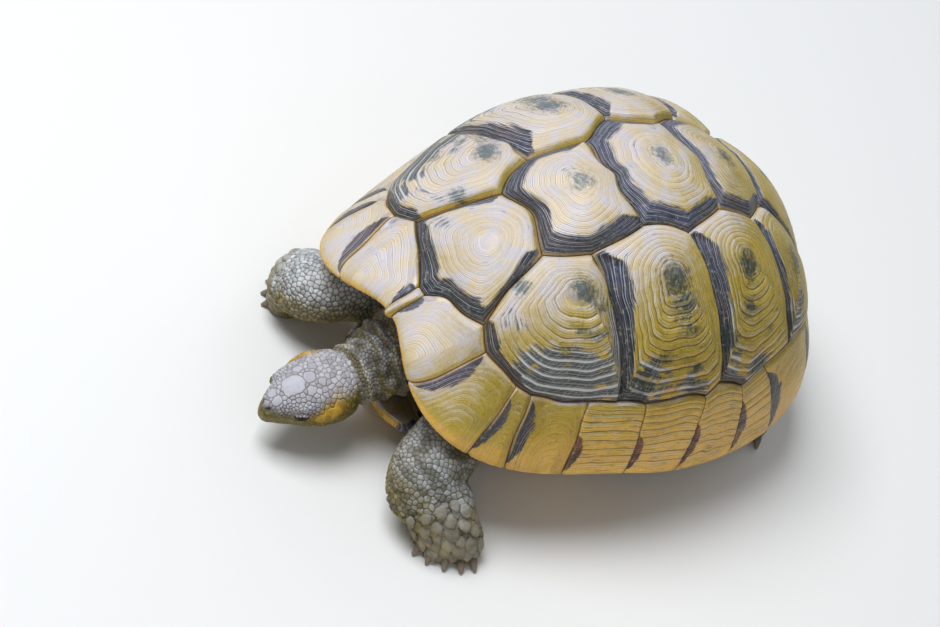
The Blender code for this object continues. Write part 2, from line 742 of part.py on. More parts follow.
def ball(name, middle, radius, slot):
    """A ball of rings from pole to pole, its poles to the sides."""
    rings = []
    turns = np.linspace(0, 2 * math.pi, EYE_SIDES, endpoint=False)
    for tilt in np.linspace(0, math.pi, EYE_RINGS + 2)[1:-1]:
        level = np.full_like(turns, math.cos(tilt))
        ring = np.stack([level, math.sin(tilt) * np.cos(turns), math.sin(tilt) * np.sin(turns)], axis=-1)
        rings.append(np.array(middle) + ring * radius)
    return ring_solid(name, rings, slot)


def head():
    frame = head_frame()
    rings = head_rings(frame)
    skull = ring_solid("head", rings, "skin")
    jaw = ring_solid("lower_jaw", rings, "skin")
    far = HEAD_STATIONS[-1][0] * 2 * MM
    space = head_block("mouth_space", frame, (-far, MOUTH_CORNER, -far), (far, far, MOUTH_HEIGHT))
    jaw_back = MOUTH_CORNER + GAP
    jaw_top = MOUTH_HEIGHT - GAP
    block = head_block("jaw_block", frame, (-far, jaw_back, -far), (far, far, jaw_top))
    cut(skull, space)
    cut(jaw, block, "INTERSECT")
    for side_name, side in (("left", 1), ("right", -1)):
        left, forward, up = EYE_PLACE
        middle = frame @ (Vector((side * left, forward, up)) * MM)
        ball(f"eye_{side_name}", middle, EYE_RADIUS, "eye")
        cut(skull, hide(ball(f"socket_{side_name}", middle, EYE_RADIUS + GAP, "skin")))
    return frame, rings


def neck(frame, head_back, trunk_clearance):
    """From inside the shell to the back of the head, which it meets face to face."""
    across = np.array((1.0, 0.0, 0.0))
    rings, _ = limb_rings(NECK_STATIONS, HEAD_RING_POINTS, across)
    apart = frame.to_3x3() @ Vector((0, -GAP, 0))
    last = head_back + np.array(apart)
    cut(ring_solid("neck", rings + [last], "skin"), trunk_clearance)


def tail(trunk_clearance):
    rings, _ = limb_rings(TAIL, TAIL_SIDES, np.array((1.0, 0.0, 0.0)))
    cut(ring_solid("tail", rings, "skin"), trunk_clearance)


def main():
    clear_scene()
    carapace()
    plastron()
    trunk("trunk")
    trunk_clearance = hide(trunk("trunk_clearance", grow=GAP))
    legs(trunk_clearance)
    frame, rings = head()
    neck(frame, rings[0], trunk_clearance)
    tail(trunk_clearance)


main()
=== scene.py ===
"""The looks of a life-size spur-thighed tortoise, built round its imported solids.

Metres, +Z up. The head points towards -Y and the animal's left side is +X. The floor is z = 0.

Places on the upper shell are given on a flat disc, as the solids have them: (0, 0) is the top of the
dome, the first number runs to the animal's left and the second rearward, and a distance of 1 is the rim.
"""

import math

import bpy
import bmesh
import numpy as np
from numpy.linalg import norm
from numpy.random import default_rng
from mathutils import Matrix, Vector
from mathutils.bvhtree import BVHTree
from mathutils.kdtree import KDTree


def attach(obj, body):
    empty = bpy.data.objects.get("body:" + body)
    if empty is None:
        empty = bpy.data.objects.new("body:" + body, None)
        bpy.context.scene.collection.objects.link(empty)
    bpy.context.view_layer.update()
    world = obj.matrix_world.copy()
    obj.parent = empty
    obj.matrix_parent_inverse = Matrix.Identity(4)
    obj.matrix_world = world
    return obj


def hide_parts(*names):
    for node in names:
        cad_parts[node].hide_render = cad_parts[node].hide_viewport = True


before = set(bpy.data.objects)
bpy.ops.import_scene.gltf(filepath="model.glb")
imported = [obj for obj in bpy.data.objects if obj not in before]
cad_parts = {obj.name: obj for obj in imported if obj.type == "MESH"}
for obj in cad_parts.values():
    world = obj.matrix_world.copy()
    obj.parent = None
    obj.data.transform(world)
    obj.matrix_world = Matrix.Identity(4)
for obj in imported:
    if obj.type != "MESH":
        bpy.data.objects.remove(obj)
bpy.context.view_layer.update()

MM = 0.001

# The shell's form
SHELL_MIDDLE_Y = 10.5 * MM
PLASTRON_LIFT = 6.0 * MM
DOME_HEIGHT = 98.5 * MM
RIM_STATIONS = (
    (0, 86, 50), (14, 93, 43), (28, 93, 33.5), (45, 82.5, 27), (65, 73.5, 25.5), (90, 71, 19.5),
    (115, 78, 17.5), (140, 91.5, 20), (160, 97.5, 18), (180, 103.5, 18),
)
NUCHAL_TIP = 2.0 * MM
NUCHAL_TIP_ANGLE = 1.4
NUCHAL_TIP_START = 0.82
FULLNESS = {"head": 1.62, "side": 2.2, "tail": 1.92}
FULLNESS_START = 0.35
FLARE = {"head": 0.098, "side": 0.0, "tail": 0.071}
FLARE_START = 0.72
BRIDGE_ANGLES = (38, 46, 120, 130)
LIP_RADIUS = 1.6 * MM
LIP_RETURN = 10.5 * MM
LIP_RISE = 2.0 * MM
BRIDGE_FOOT = 8.0 * MM
TURN_END = 1.1
UNDER_END = 1.2
NORMAL_STEP = 1e-3

# Corners where the scutes of the left side meet, on the disc
CORNERS = {
    "nuchal_v1": (0.020, -0.820), "v1_m1_c1": (0.200, -0.617), "m1_m2": (0.275, -0.635),
    "m2_m3": (0.412, -0.614), "m3_m4": (0.460, -0.595), "m4_m5": (0.603, -0.449),
    "c1_c2_m5": (0.659, -0.354), "m5_m6": (0.724, -0.251), "m6_m7": (0.752, 0.037),
    "c2_c3_m7": (0.716, 0.092), "m7_m8": (0.722, 0.233), "m8_m9": (0.640, 0.325),
    "c3_c4_m9": (0.565, 0.415), "m9_m10": (0.447, 0.552), "m10_m11": (0.338, 0.636),
    "v5_c4_m11": (0.270, 0.668), "v5_m11": (0.141, 0.726), "v1_v2_c1": (0.106, -0.375),
    "v2_c1_c2": (0.174, -0.260), "v2_v3_c2": (0.170, -0.112), "v3_c2_c3": (0.242, 0.033),
    "v3_v4_c3": (0.151, 0.160), "v4_c3_c4": (0.180, 0.279), "v4_v5_c4": (0.122, 0.357),
}

# Each vertebral scute: its left edge from head to tail, where its growth began, and for the edges
# front-lateral, rear-lateral, rear and front the width of the dark band in mm
VERTEBRALS = (
    (("nuchal_v1", "v1_m1_c1", "v1_v2_c1"), (0.01, -0.523), (6.6, 3.4, 0.0, 5.0)),
    (("v1_v2_c1", "v2_c1_c2", "v2_v3_c2"), (-0.012, -0.205), (6.8, 6.4, 0.0, 6.6)),
    (("v2_v3_c2", "v3_c2_c3", "v3_v4_c3"), (-0.010, 0.060), (7.0, 5.8, 0.0, 6.8)),
    (("v3_v4_c3", "v4_c3_c4", "v4_v5_c4"), (0.0, 0.268), (5.8, 5.0, 0.0, 5.8)),
    (("v4_v5_c4", "v5_c4_m11", "v5_m11"), (0.0, 0.475), (4.6, 2.6, 0.0, 4.4)),
)
# Each left costal scute: its outline, where its growth began, and the dark band along each of its edges in mm
COSTALS = (
    (
        ("v1_m1_c1", "m1_m2", "m2_m3", "m3_m4", "m4_m5", "c1_c2_m5", "v2_c1_c2", "v1_v2_c1"),
        (0.240, -0.335),
        (5.5, 4.5, 2.2, 1.0, 0.6, 0.0, 0.0, 0.5),
    ),
    (
        ("c1_c2_m5", "m5_m6", "m6_m7", "c2_c3_m7", "v3_c2_c3", "v2_v3_c2", "v2_c1_c2"),
        (0.357, -0.097),
        (3.6, 1.0, 0.0, 0.0, 0.0, 0.0, 8.0),
    ),
    (
        ("c2_c3_m7", "m7_m8", "m8_m9", "c3_c4_m9", "v4_c3_c4", "v3_v4_c3", "v3_c2_c3"),
        (0.310, 0.190),
        (3.4, 1.0, 0.0, 0.0, 0.0, 0.0, 7.2),
    ),
    (
        ("c3_c4_m9", "m9_m10", "m10_m11", "v5_c4_m11", "v4_v5_c4", "v4_c3_c4"),
        (0.265, 0.415),
        (1.2, 0.0, 0.0, 0.0, 0.0, 3.8),
    ),
)
# The upper edge of each left marginal scute, and the dark wedge along its front seam: how wide in mm, the
# shares of the way down where it starts and ends, and how rusty it is
MARGINALS = (
    (("nuchal_v1", "v1_m1_c1", "m1_m2"), (3.2, 0.10, 0.80, 0.0)),
    (("m1_m2", "m2_m3"), (5.6, 0.04, 0.97, 0.12)),
    (("m2_m3", "m3_m4"), (4.4, 0.14, 0.92, 0.08)),
    (("m3_m4", "m4_m5"), (4.6, 0.04, 0.94, 0.05)),
    (("m4_m5", "c1_c2_m5", "m5_m6"), (3.0, 0.40, 0.97, 0.85)),
    (("m5_m6", "m6_m7"), (3.2, 0.40, 0.97, 0.95)),
    (("m6_m7", "c2_c3_m7", "m7_m8"), (3.4, 0.36, 0.97, 0.95)),
    (("m7_m8", "m8_m9"), (3.8, 0.20, 0.95, 0.6)),
    (("m8_m9", "c3_c4_m9", "m9_m10"), (5.2, 0.10, 0.98, 0.1)),
    (("m9_m10", "m10_m11"), (5.6, 0.06, 0.98, 0.0)),
    (("m10_m11", "v5_c4_m11", "v5_m11"), (5.6, 0.06, 0.98, 0.0)),
)
RIM_SEAMS = (1.4, 14, 32, 40.5, 54.5, 73.5, 93, 112.5, 126, 141, 155, 168)

# Dark spots on the scutes: direction from where the growth began (0 to the head, 90 down the side), share
# of the way to the edge, the spot's half width round and outward in mm, and its strength
SPOTS = {
    "vertebral_2": ((0, 0.04, 5.0, 4.2, 0.64), (140, 0.10, 2.4, 2.0, 0.6),),
    "vertebral_3": ((0, 0.04, 5.2, 4.4, 0.68),),
    "vertebral_4": ((0, 0.04, 4.8, 4.4, 0.70),),
    "vertebral_5": ((0, 0.05, 4.6, 4.4, 0.72),),
    "costal_1": (
        (95, 0.06, 4.3, 5.4, 0.86), (62, 0.34, 2.6, 2.0, 0.62), (80, 0.40, 4.5, 2.6, 0.66),
        (100, 0.52, 4.0, 2.2, 0.62), (52, 0.50, 3.0, 2.4, 0.6), (-30, 0.82, 3.4, 2.8, 0.85),
    ),
    "costal_2": (
        (80, 0.04, 6.0, 7.0, 0.80), (95, 0.22, 5.8, 6.8, 0.78), (96, 0.42, 5.0, 3.0, 0.75),
        (70, 0.62, 4.4, 2.6, 0.75), (58, 0.84, 5.6, 5.4, 0.9), (98, 0.74, 4.4, 2.6, 0.7),
        (100, 0.92, 5.0, 3.4, 0.85),
    ),
    "costal_3": (
        (88, 0.08, 4.9, 6.4, 0.80), (90, 0.40, 4.4, 4.0, 0.72), (70, 0.88, 5.2, 4.2, 1.05),
        (104, 0.90, 4.2, 3.4, 0.95),
    ),
    "costal_4": ((92, 0.10, 4.4, 5.2, 0.8), (100, 0.55, 4.0, 3.8, 0.85), (84, 0.90, 4.6, 3.4, 0.95),),
}
# Smoky parts of the scutes: direction, half width in degrees, share of the way where it starts, strength
SMOKY = {
    "costal_1": ((56, 46, 0.40, 1.0), (98, 24, 0.55, 0.9),),
    "costal_2": ((60, 22, 0.50, 0.7), (96, 20, 0.62, 0.55),),
    "costal_3": ((60, 22, 0.50, 0.7), (92, 26, 0.55, 0.6),),
    "costal_4": ((88, 36, 0.45, 0.6),),
    "vertebral_1": ((60, 40, 0.55, 0.35),),
}


def ramp(low, high, value):
    """Rises smoothly from 0 at low to 1 at high; low may be above high."""
    t = held((value - low) / (high - low))
    return t * t * (3 - 2 * t)


def hump(value, width):
    """1 at 0, falling away on both sides."""
    return np.exp(-((value / width) ** 2))


def mix(a, b, share):
    return a + (b - a) * share


def held(value):
    """Keeps a value between 0 and 1."""
    return np.clip(value, 0, 1)


def joined(*values):
    """Puts the parts of places or directions together."""
    return np.stack(values, axis=-1)


def unit(vectors):
    return vectors / np.maximum(norm(vectors, axis=-1, keepdims=True), 1e-12)


RIPPLE_WAVES = 9
RIPPLE_LENGTHS = (0.7, 1.6)


def ripple(places, size, seed):
    """A smooth uneven field with bumps about size apart, mostly between -1 and 1."""
    draw = default_rng(seed)
    directions = unit(draw.normal(size=(RIPPLE_WAVES, places.shape[-1])))
    lengths = size * draw.uniform(*RIPPLE_LENGTHS, RIPPLE_WAVES)
    turns = draw.uniform(0, 2 * math.pi, RIPPLE_WAVES)
    waves = np.sin(places @ (directions * (2 * math.pi / lengths)[:, None]).T + turns)
    return waves.sum(-1) / math.sqrt(RIPPLE_WAVES)


def ripple_over(grid, size, seed):
    """The same kind of field over a grid of places."""
    return ripple(grid.reshape(-1, grid.shape[-1]), size, seed).reshape(grid.shape[:-1])


class LevelEndSpline:
    """The smooth curve through the stations, level at both ends, where the shell mirrors."""

    def __init__(self, places, values):
        self.places = np.array(places, float)
        self.values = np.array(values, float)
        steps = np.diff(self.places)
        slopes = np.diff(self.values) / steps
        count = len(self.places)
        system = np.zeros((count, count))
        wanted = np.zeros(count)
        for i in range(1, count - 1):
            system[i, i - 1 : i + 2] = (steps[i - 1], 2 * (steps[i - 1] + steps[i]), steps[i])
            wanted[i] = 6 * (slopes[i] - slopes[i - 1])
        system[0, :2] = (2 * steps[0], steps[0])
        wanted[0] = 6 * slopes[0]
        system[-1, -2:] = (steps[-1], 2 * steps[-1])
        wanted[-1] = -6 * slopes[-1]
        self.bends = np.linalg.solve(system, wanted)

    def __call__(self, at):
        i = np.clip(np.searchsorted(self.places, at) - 1, 0, len(self.places) - 2)
        step = self.places[i + 1] - self.places[i]
        left = (self.places[i + 1] - at) / step
        right = 1 - left
        bend = (left**3 - left) * self.bends[i] + (right**3 - right) * self.bends[i + 1]
        return left * self.values[i] + right * self.values[i + 1] + bend * step**2 / 6


STATION_ANGLES, STATION_REACHES, STATION_HEIGHTS = np.array(RIM_STATIONS).T
RIM_REACH = LevelEndSpline(np.radians(STATION_ANGLES), STATION_REACHES * MM)
RIM_HEIGHT = LevelEndSpline(np.radians(STATION_ANGLES), STATION_HEIGHTS * MM)


def by_direction(table, cosine):
    """A value that changes from head to side to tail."""
    head = held(cosine) ** 2
    tail = held(-cosine) ** 2
    return table["head"] * head + table["tail"] * tail + table["side"] * (1 - head - tail)


def bridge_share(angle):
    """1 between the legs, where the shell turns under in a bridge, and 0 at the openings."""
    degrees = np.degrees(np.abs(angle))
    rear = ramp(BRIDGE_ANGLES[2], BRIDGE_ANGLES[3], degrees)
    return ramp(BRIDGE_ANGLES[0], BRIDGE_ANGLES[1], degrees) * (1 - rear)


def shell_point(left, back):
    """The outer surface of the shell at a place on the disc."""
    out = np.hypot(left, back)
    angle = np.arctan2(left, -back)
    cosine = np.cos(angle)
    tip = NUCHAL_TIP * hump(np.degrees(np.abs(angle)), NUCHAL_TIP_ANGLE)
    rim = RIM_REACH(np.abs(angle)) + tip * ramp(NUCHAL_TIP_START, 1, out)
    rim_height = RIM_HEIGHT(np.abs(angle))
    spread = np.sin(held(out) * math.pi / 2)
    full = 2 + (by_direction(FULLNESS, cosine) - 2) * ramp(0, FULLNESS_START, out)
    flare = by_direction(FLARE, cosine)
    reach = rim * (spread * (1 - flare) + flare * ramp(FLARE_START, 1, out))
    height = rim_height + (DOME_HEIGHT - rim_height) * held(1 - spread**full) ** (1 / full)
    bridge = bridge_share(angle)
    turn = held((out - 1) / (TURN_END - 1)) * math.pi / 2
    under = held((out - TURN_END) / (UNDER_END - TURN_END))
    bridge_drop = rim_height - LIP_RADIUS - BRIDGE_FOOT
    reach = reach - LIP_RADIUS * (1 - np.cos(turn)) - under * mix(LIP_RETURN, bridge_drop, bridge)
    height = height - LIP_RADIUS * np.sin(turn) + under * mix(LIP_RISE, -bridge_drop, bridge)
    return joined(np.sin(angle) * reach, SHELL_MIDDLE_Y - np.cos(angle) * reach, PLASTRON_LIFT + height)


def shell_normal(left, back):
    step = NORMAL_STEP
    along_left = shell_point(left + step, back) - shell_point(left - step, back)
    along_back = shell_point(left, back + step) - shell_point(left, back - step)
    return unit(np.cross(along_left, along_back))


SEAM_WANDER = 0.006
SEAM_WANDER_SIZE = 0.17
SEAM_WANDER_END = (0.80, 0.97)


def wander(places):
    """Lets the seams wander a little from straight, alike for both scutes that share one."""
    fade = (1 - ramp(*SEAM_WANDER_END, np.hypot(*places.T)))[:, None]
    sideways = [ripple(places, SEAM_WANDER_SIZE, seed) for seed in (11, 12)]
    return places + SEAM_WANDER * fade * joined(*sideways)


def corner(name, side=1):
    left, back = CORNERS[name]
    return np.array((side * left, back))


def seam_path(corners, step):
    """Points along the seams through the corners, and the number of the seam that each lies on."""
    path = [corners[0]]
    seams = [0]
    for number, (start, end) in enumerate(zip(corners, corners[1:])):
        steps = max(2, round(float(norm(end - start)) / step))
        path += [mix(start, end, k / steps) for k in range(1, steps + 1)]
        seams += [number] * steps
    return np.array(path), np.array(seams)


def run_along(points):
    """How far along a row of points each one is."""
    return np.concatenate([[0], np.cumsum(norm(np.diff(points, axis=0), axis=1))])


def rounded(values, spread):
    """A closed row of values, smoothed over a share of its length."""
    count = len(values)
    reach = max(1, round(spread * count))
    offsets = np.arange(-3 * reach, 3 * reach + 1)
    weights = np.exp(-0.5 * (offsets / reach) ** 2)
    weights /= weights.sum()
    return sum(w * np.roll(values, -o) for w, o in zip(weights, offsets))


def write_fields(mesh, fields):
    """Keeps numbers at the points of a mesh, for its material to read."""
    for field, values in fields.items():
        layer = mesh.attributes.new(field, "FLOAT", "POINT")
        layer.data.foreach_set("value", np.ascontiguousarray(values, np.float32))


def into_scene(name, data):
    """A new object in the scene."""
    thing = bpy.data.objects.new(name, data)
    bpy.context.scene.collection.objects.link(thing)
    return thing


def face_out(thing):
    """Turns a closed mesh's faces outward."""
    shape = bmesh.new()
    shape.from_mesh(thing.data)
    bmesh.ops.recalc_face_normals(shape, faces=shape.faces)
    if shape.calc_volume(signed=True) < 0:
        bmesh.ops.reverse_faces(shape, faces=shape.faces)
    shape.to_mesh(thing.data)
    shape.free()


def mesh_object(name, points, faces, material, fields):
    """A smooth-shaded closed object whose fields are numbers at its points."""
    mesh = bpy.data.meshes.new(name)
    mesh.from_pydata(points.tolist(), [], faces)
    mesh.shade_smooth()
    write_fields(mesh, fields)
    mesh.materials.append(material)
    thing = into_scene(name, mesh)
    face_out(thing)
    return thing


def ring_quads(rows, count):
    """The faces between rows of points, where each row is a closed ring."""
    faces = []
    for row in range(rows - 1):
        near, far = row * count, (row + 1) * count
        faces += [(near + i, near + (i + 1) % count, far + (i + 1) % count, far + i) for i in range(count)]
    return faces


def fan(first, count, tip):
    """The faces between a ring of points and the one point that closes it."""
    return [(first + i, first + (i + 1) % count, tip) for i in range(count)]


def fan_back(count, tip):
    """The same faces turned the other way, for the first ring."""
    return [((i + 1) % count, i, tip) for i in range(count)]


def border_of(grid):
    """The numbers of a grid's outer points, once round."""
    return np.concatenate([grid[0, :-1], grid[:-1, -1], grid[-1, :0:-1], grid[:0:-1, 0]])


# Growth rings of a scute
RING_POINTS = 96
SEAM_POINT_STEP = 0.0075
AREOLA_SHARE = 0.15
CROWN = 1.7 * MM
EDGE_DROP = 1.9 * MM
EDGE_WIDTH = 2.6 * MM
SEAM_DEPTH = 0.45 * MM
SCUTE_DEPTH = 2.4 * MM

# How wide the years' growths are beside each other, and how the last two are narrower
YEAR_WIDTHS = (0.55, 1.45)
LAST_YEARS = 0.7


def ring_edges(count, draw):
    """Where each year's growth ends, as shares of the way from the middle to the edge."""
    widths = draw.uniform(*YEAR_WIDTHS, count)
    widths[-2:] *= LAST_YEARS
    edges = np.concatenate([[0], np.cumsum(widths)])
    return AREOLA_SHARE + (1 - AREOLA_SHARE) * edges / edges[-1]


def ring_number(share, edges):
    """Counts years outward: below 0 on the first plate, then 0 to the number of rings."""
    inside = (share - AREOLA_SHARE) / AREOLA_SHARE
    return np.where(share < AREOLA_SHARE, inside, np.interp(share, edges, np.arange(len(edges))))


RIDGE_SHARE = 0.09
RIDGE_HEIGHTS = (0.02 * MM, 0.36 * MM)
RIDGE_POWER = 0.5
RIDGE_LEVEL = 0.6
FIRST_RIDGE = (0.0, 0.3)


def ring_relief(number, ring_width):
    """The rounded ridge of each year's growth, with a sharp groove between two."""
    part = np.clip(number, 0, None) % 1.0
    ridge = np.sin(math.pi * part) ** RIDGE_POWER
    height = np.clip(RIDGE_SHARE * ring_width, *RIDGE_HEIGHTS)
    return height * (ridge - RIDGE_LEVEL) * ramp(*FIRST_RIDGE, number)


# How a dark edge frays: along the rings, from year to year, and finely
STAIR_SIZE = 7 * MM
STAIR_YEAR = 3.7
FRAY_SIZE = 2.2 * MM
FRAY_YEAR = 1.3
STAIR, YEAR_SHIFT, FRAY = 0.10, 0.08, 0.05
MOST_YEARS = 64
DARK_EDGE = (0.34, 0.66)
LEAST_DARK = 0.02


def stair_dark(amount, number, around, seed, ragged):
    """Breaks the edge of a dark patch into the steps that each year's growth left."""
    year = np.floor(number)
    draw = default_rng(seed)
    shifts = draw.uniform(-1, 1, MOST_YEARS)[np.clip(year, 0, MOST_YEARS - 1).astype(int)]
    along = joined(around / STAIR_SIZE, year * STAIR_YEAR)
    fine = joined(around / FRAY_SIZE, number * FRAY_YEAR)
    uneven = STAIR * ripple(along, 1.0, seed + 1) + YEAR_SHIFT * shifts + FRAY * ripple(fine, 1.0, seed + 2)
    return ramp(*DARK_EDGE, amount + ragged * uneven * (amount > LEAST_DARK))


SPOT_FALL = 0.7
SMOKE_FADE = 0.25


def blotches(kind, offset, direction):
    """How strong the dark spots of a scute are at each of its points."""
    blotch = np.zeros(offset.shape[:2])
    for at_direction, at_share, half_round, half_out, strength in SPOTS.get(kind, ()):
        nearest = int(np.argmin(np.abs((direction - at_direction + 180) % 360 - 180)))
        row = min(int(at_share * RING_POINTS), RING_POINTS - 1)
        out_way = unit(offset[-1, nearest])
        gap = offset - offset[row, nearest]
        out_gap = gap @ out_way
        round_gap = norm(gap - out_gap[..., None] * out_way, axis=-1)
        far = np.hypot(round_gap / (half_round * MM), out_gap / (half_out * MM))
        blotch = np.maximum(blotch, strength * np.exp(-SPOT_FALL * far**2))
    return blotch


def smokiness(kind, share, direction):
    """How smoky a scute is at each of its points."""
    smoky = np.zeros_like(share)
    for at_direction, half_width, from_share, strength in SMOKY.get(kind, ()):
        sideways = hump(direction - at_direction, half_width)[None]
        outward = ramp(from_share, from_share + SMOKE_FADE, share)
        smoky = np.maximum(smoky, strength * sideways * outward)
    return smoky


# What differs between the scutes of the middle row and those of the sides: years of growth, how far round the
# outline is softened for the inner rings, and how ragged the dark edges are
SCUTE_KINDS = {"vertebral": (13, 0.09, 0.24), "costal": (11, 0.05, 0.42)}
SHAPE_POWER = 3.2
WANDER_POWER = 5
SWIRL = 0.05
SWIRL_SIZE = 0.09
SWIRL_START = 0.3
SWIRL_END = 0.93
BAND_SOFTENING = 0.012
BAND_SLOPE = 1.05
STEEP_BANDS = (1.5 * MM, 4.0 * MM)
EDGE_POWERS = (1.8, 1.05)
LOW_DOWN = (0.2, 0.6)
SCUTE_RELIEF = (0.65, 1.55)
SCUTE_LINES = (0.65, 1.25)
SEAM_WIDTH = 0.55 * MM
HORN_GRAIN = 0.02 * MM
HORN_GRAIN_SIZE = 4 * MM
LEAST_BAND = 0.3 * MM
NARROW_BAND = 3 * MM
PALE_RIM = (0.9 * MM, 0.35 * MM)
PALE_RIM_STRENGTH = 0.75
LARGEST_INWARD = 30


def scute(name, outline, seams, growth_start, bands, kind, seed, material):
    """A horny plate of the dome, with its growth rings, seam grooves and markings."""
    years, softening, ragged = SCUTE_KINDS[kind]
    start = np.array(growth_start)
    count = len(outline)
    early_spokes = outline - start
    outline = wander(outline)
    spokes = outline - start
    rim_place = shell_point(*outline.T)
    middle_place = shell_point(*start)
    spoke_length = norm(rim_place - middle_place, axis=1)
    soft = rounded(np.hypot(*spokes.T), softening) / np.hypot(*spokes.T)
    edges = ring_edges(years, default_rng(seed))

    share = np.repeat(np.linspace(0, 1, RING_POINTS + 1)[1:, None], count, axis=1)
    shape = mix(soft[None], 1.0, share**SHAPE_POWER)
    late = share[..., None] ** WANDER_POWER
    places = start + mix(early_spokes[None], spokes[None], late) * (share * shape)[..., None]
    surface = shell_point(places[..., 0], places[..., 1])
    normal = shell_normal(places[..., 0], places[..., 1])

    steps = norm(np.roll(rim_place, -1, axis=0) - rim_place, axis=1)
    around = np.concatenate([[0], np.cumsum(steps)[:-1]])[None] * share
    inward = (1 - share) * spoke_length[None]
    swirl = SWIRL * ripple_over(places, SWIRL_SIZE, seed + 5)
    number = ring_number(share, edges)
    number = number + swirl * ramp(0, SWIRL_START, share) * ramp(1.0, SWIRL_END, share)
    year = np.clip(np.floor(number), 0, years - 1).astype(int)
    ring_width = np.diff(edges)[year] * spoke_length[None]

    band = rounded(np.array(bands, float)[seams], BAND_SOFTENING)[None] * MM
    slope_width = np.maximum(band * BAND_SLOPE, EDGE_WIDTH)
    edge_share = held(1 - inward / slope_width)
    steep = ramp(*STEEP_BANDS, band)
    low_down = ramp(*LOW_DOWN, np.abs(outline[:, 0]))[None] * (kind == "costal")
    height = CROWN * (1 - share**2) - EDGE_DROP * edge_share ** mix(*EDGE_POWERS, steep)
    height += mix(*SCUTE_RELIEF, low_down) * ring_relief(number, ring_width)
    height -= SEAM_DEPTH * hump(inward, SEAM_WIDTH)
    height += HORN_GRAIN * ripple_over(surface, HORN_GRAIN_SIZE, seed + 7)

    direction = np.degrees(np.arctan2(np.abs(spokes[:, 0]), -spokes[:, 1]))
    toward_middle = spokes[:, 0] * np.sign(outline[:, 0].mean() + 1e-9) < 0
    direction = np.where(toward_middle & (kind == "costal"), -direction, direction)
    own_kind = name.replace("_left", "").replace("_right", "")
    blotch = blotches(own_kind, surface - middle_place, direction)
    smoky = smokiness(own_kind, share, direction)
    amount = np.where(band > LEAST_BAND, 1 - 0.5 * inward / np.maximum(band, 1e-9), 0.0)
    dark = stair_dark(amount, number, around, seed, ragged)
    dark = dark * (1 - ramp(*PALE_RIM, inward) * PALE_RIM_STRENGTH * (band < NARROW_BAND))

    outer = surface + normal * height[..., None]
    middle_normal = shell_normal(*start)
    wall = outer[-1] - normal[-1] * SCUTE_DEPTH
    top = middle_place + middle_normal * CROWN
    under = middle_place - middle_normal * SCUTE_DEPTH
    points = np.concatenate([outer.reshape(-1, 3), wall, top[None], under[None]])
    top_index = (RING_POINTS + 1) * count
    faces = ring_quads(RING_POINTS + 1, count)
    faces += [(i, top_index, (i + 1) % count) for i in range(count)]
    faces += fan(RING_POINTS * count, count, top_index + 1)

    def whole(values, middle):
        values = np.broadcast_to(values, share.shape)
        return np.concatenate([values.ravel(), values[-1], [middle, values[-1, 0]]])

    fields = {
        "growth": whole(number, -1.0),
        "around": whole(around / MM, 0.0),
        "dark": whole(dark, float(dark[0].mean())),
        "inward": whole(np.clip(inward / MM, 0, LARGEST_INWARD), LARGEST_INWARD),
        "lines": whole(mix(*SCUTE_LINES, low_down), 1.0),
        "blotch": whole(blotch, float(blotch[0].mean())),
        "smoky": whole(smoky, 0.0),
    }
    thing = mesh_object(name + "_plate", points, faces, material, fields)
    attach(thing, "root")
    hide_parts(name)


# Marginal scutes: rows of points down to the rim, round the lip and back underneath
MARGINAL_POINT_STEP = 0.42 * MM
MARGINAL_ROWS = 62
LIP_ROWS = 12
UNDER_ROWS = 18
MARGINAL_START = (0.70, 0.96)
# The two plates on the middle line: where their growth began, and their dark wedges
NUCHAL_START, NUCHAL_WEDGE = (0.5, 0.9), (0.0, 0.1, 0.9, 0.0)
TAIL_START, TAIL_WEDGE = (0.5, 0.96), (3.0, 0.05, 0.98, 0.0)

MARGINAL_EDGE_STEP = 0.004
FEWEST_COLUMNS = 8
DISC_SIZE = 95 * MM
RIM_RADIUS = 90 * MM
MARGINAL_YEARS = 9
# The rings of a rim plate: how square they are, and how a rusty plate's rings turn level
MARGINAL_BENDS = (3.0, 6.0)
LEVEL_RUST = (0.35, 0.6)
LEVEL_SIDE_SHARE = 0.03
BELOW_START = 0.9
MARGINAL_SWIRL = 0.06
MARGINAL_SWIRL_SIZE = 9 * MM
MARGINAL_DOME = 0.35 * MM
MARGINAL_SINK = 0.25 * MM
RUSTY = (0.2, 0.6)
MARGINAL_RELIEF = (0.35, 1.1)
MARGINAL_LINES = (0.34, 1.0)
SIDE_GROOVE = 0.5 * MM
UPPER_SLOPE = 2.5 * MM
UPPER_SLOPE_POWER = 1.5
RIM_FADE = (1.02, 0.9)
UNDER_RELIEF = 0.35
RIM_GRAIN = 0.03 * MM
RIM_GRAIN_SIZE = 5 * MM
WEDGE_POWERS = (0.75, 0.8)
LEAST_WEDGE = 0.15 * MM
WEDGE_RAGGED = 0.4


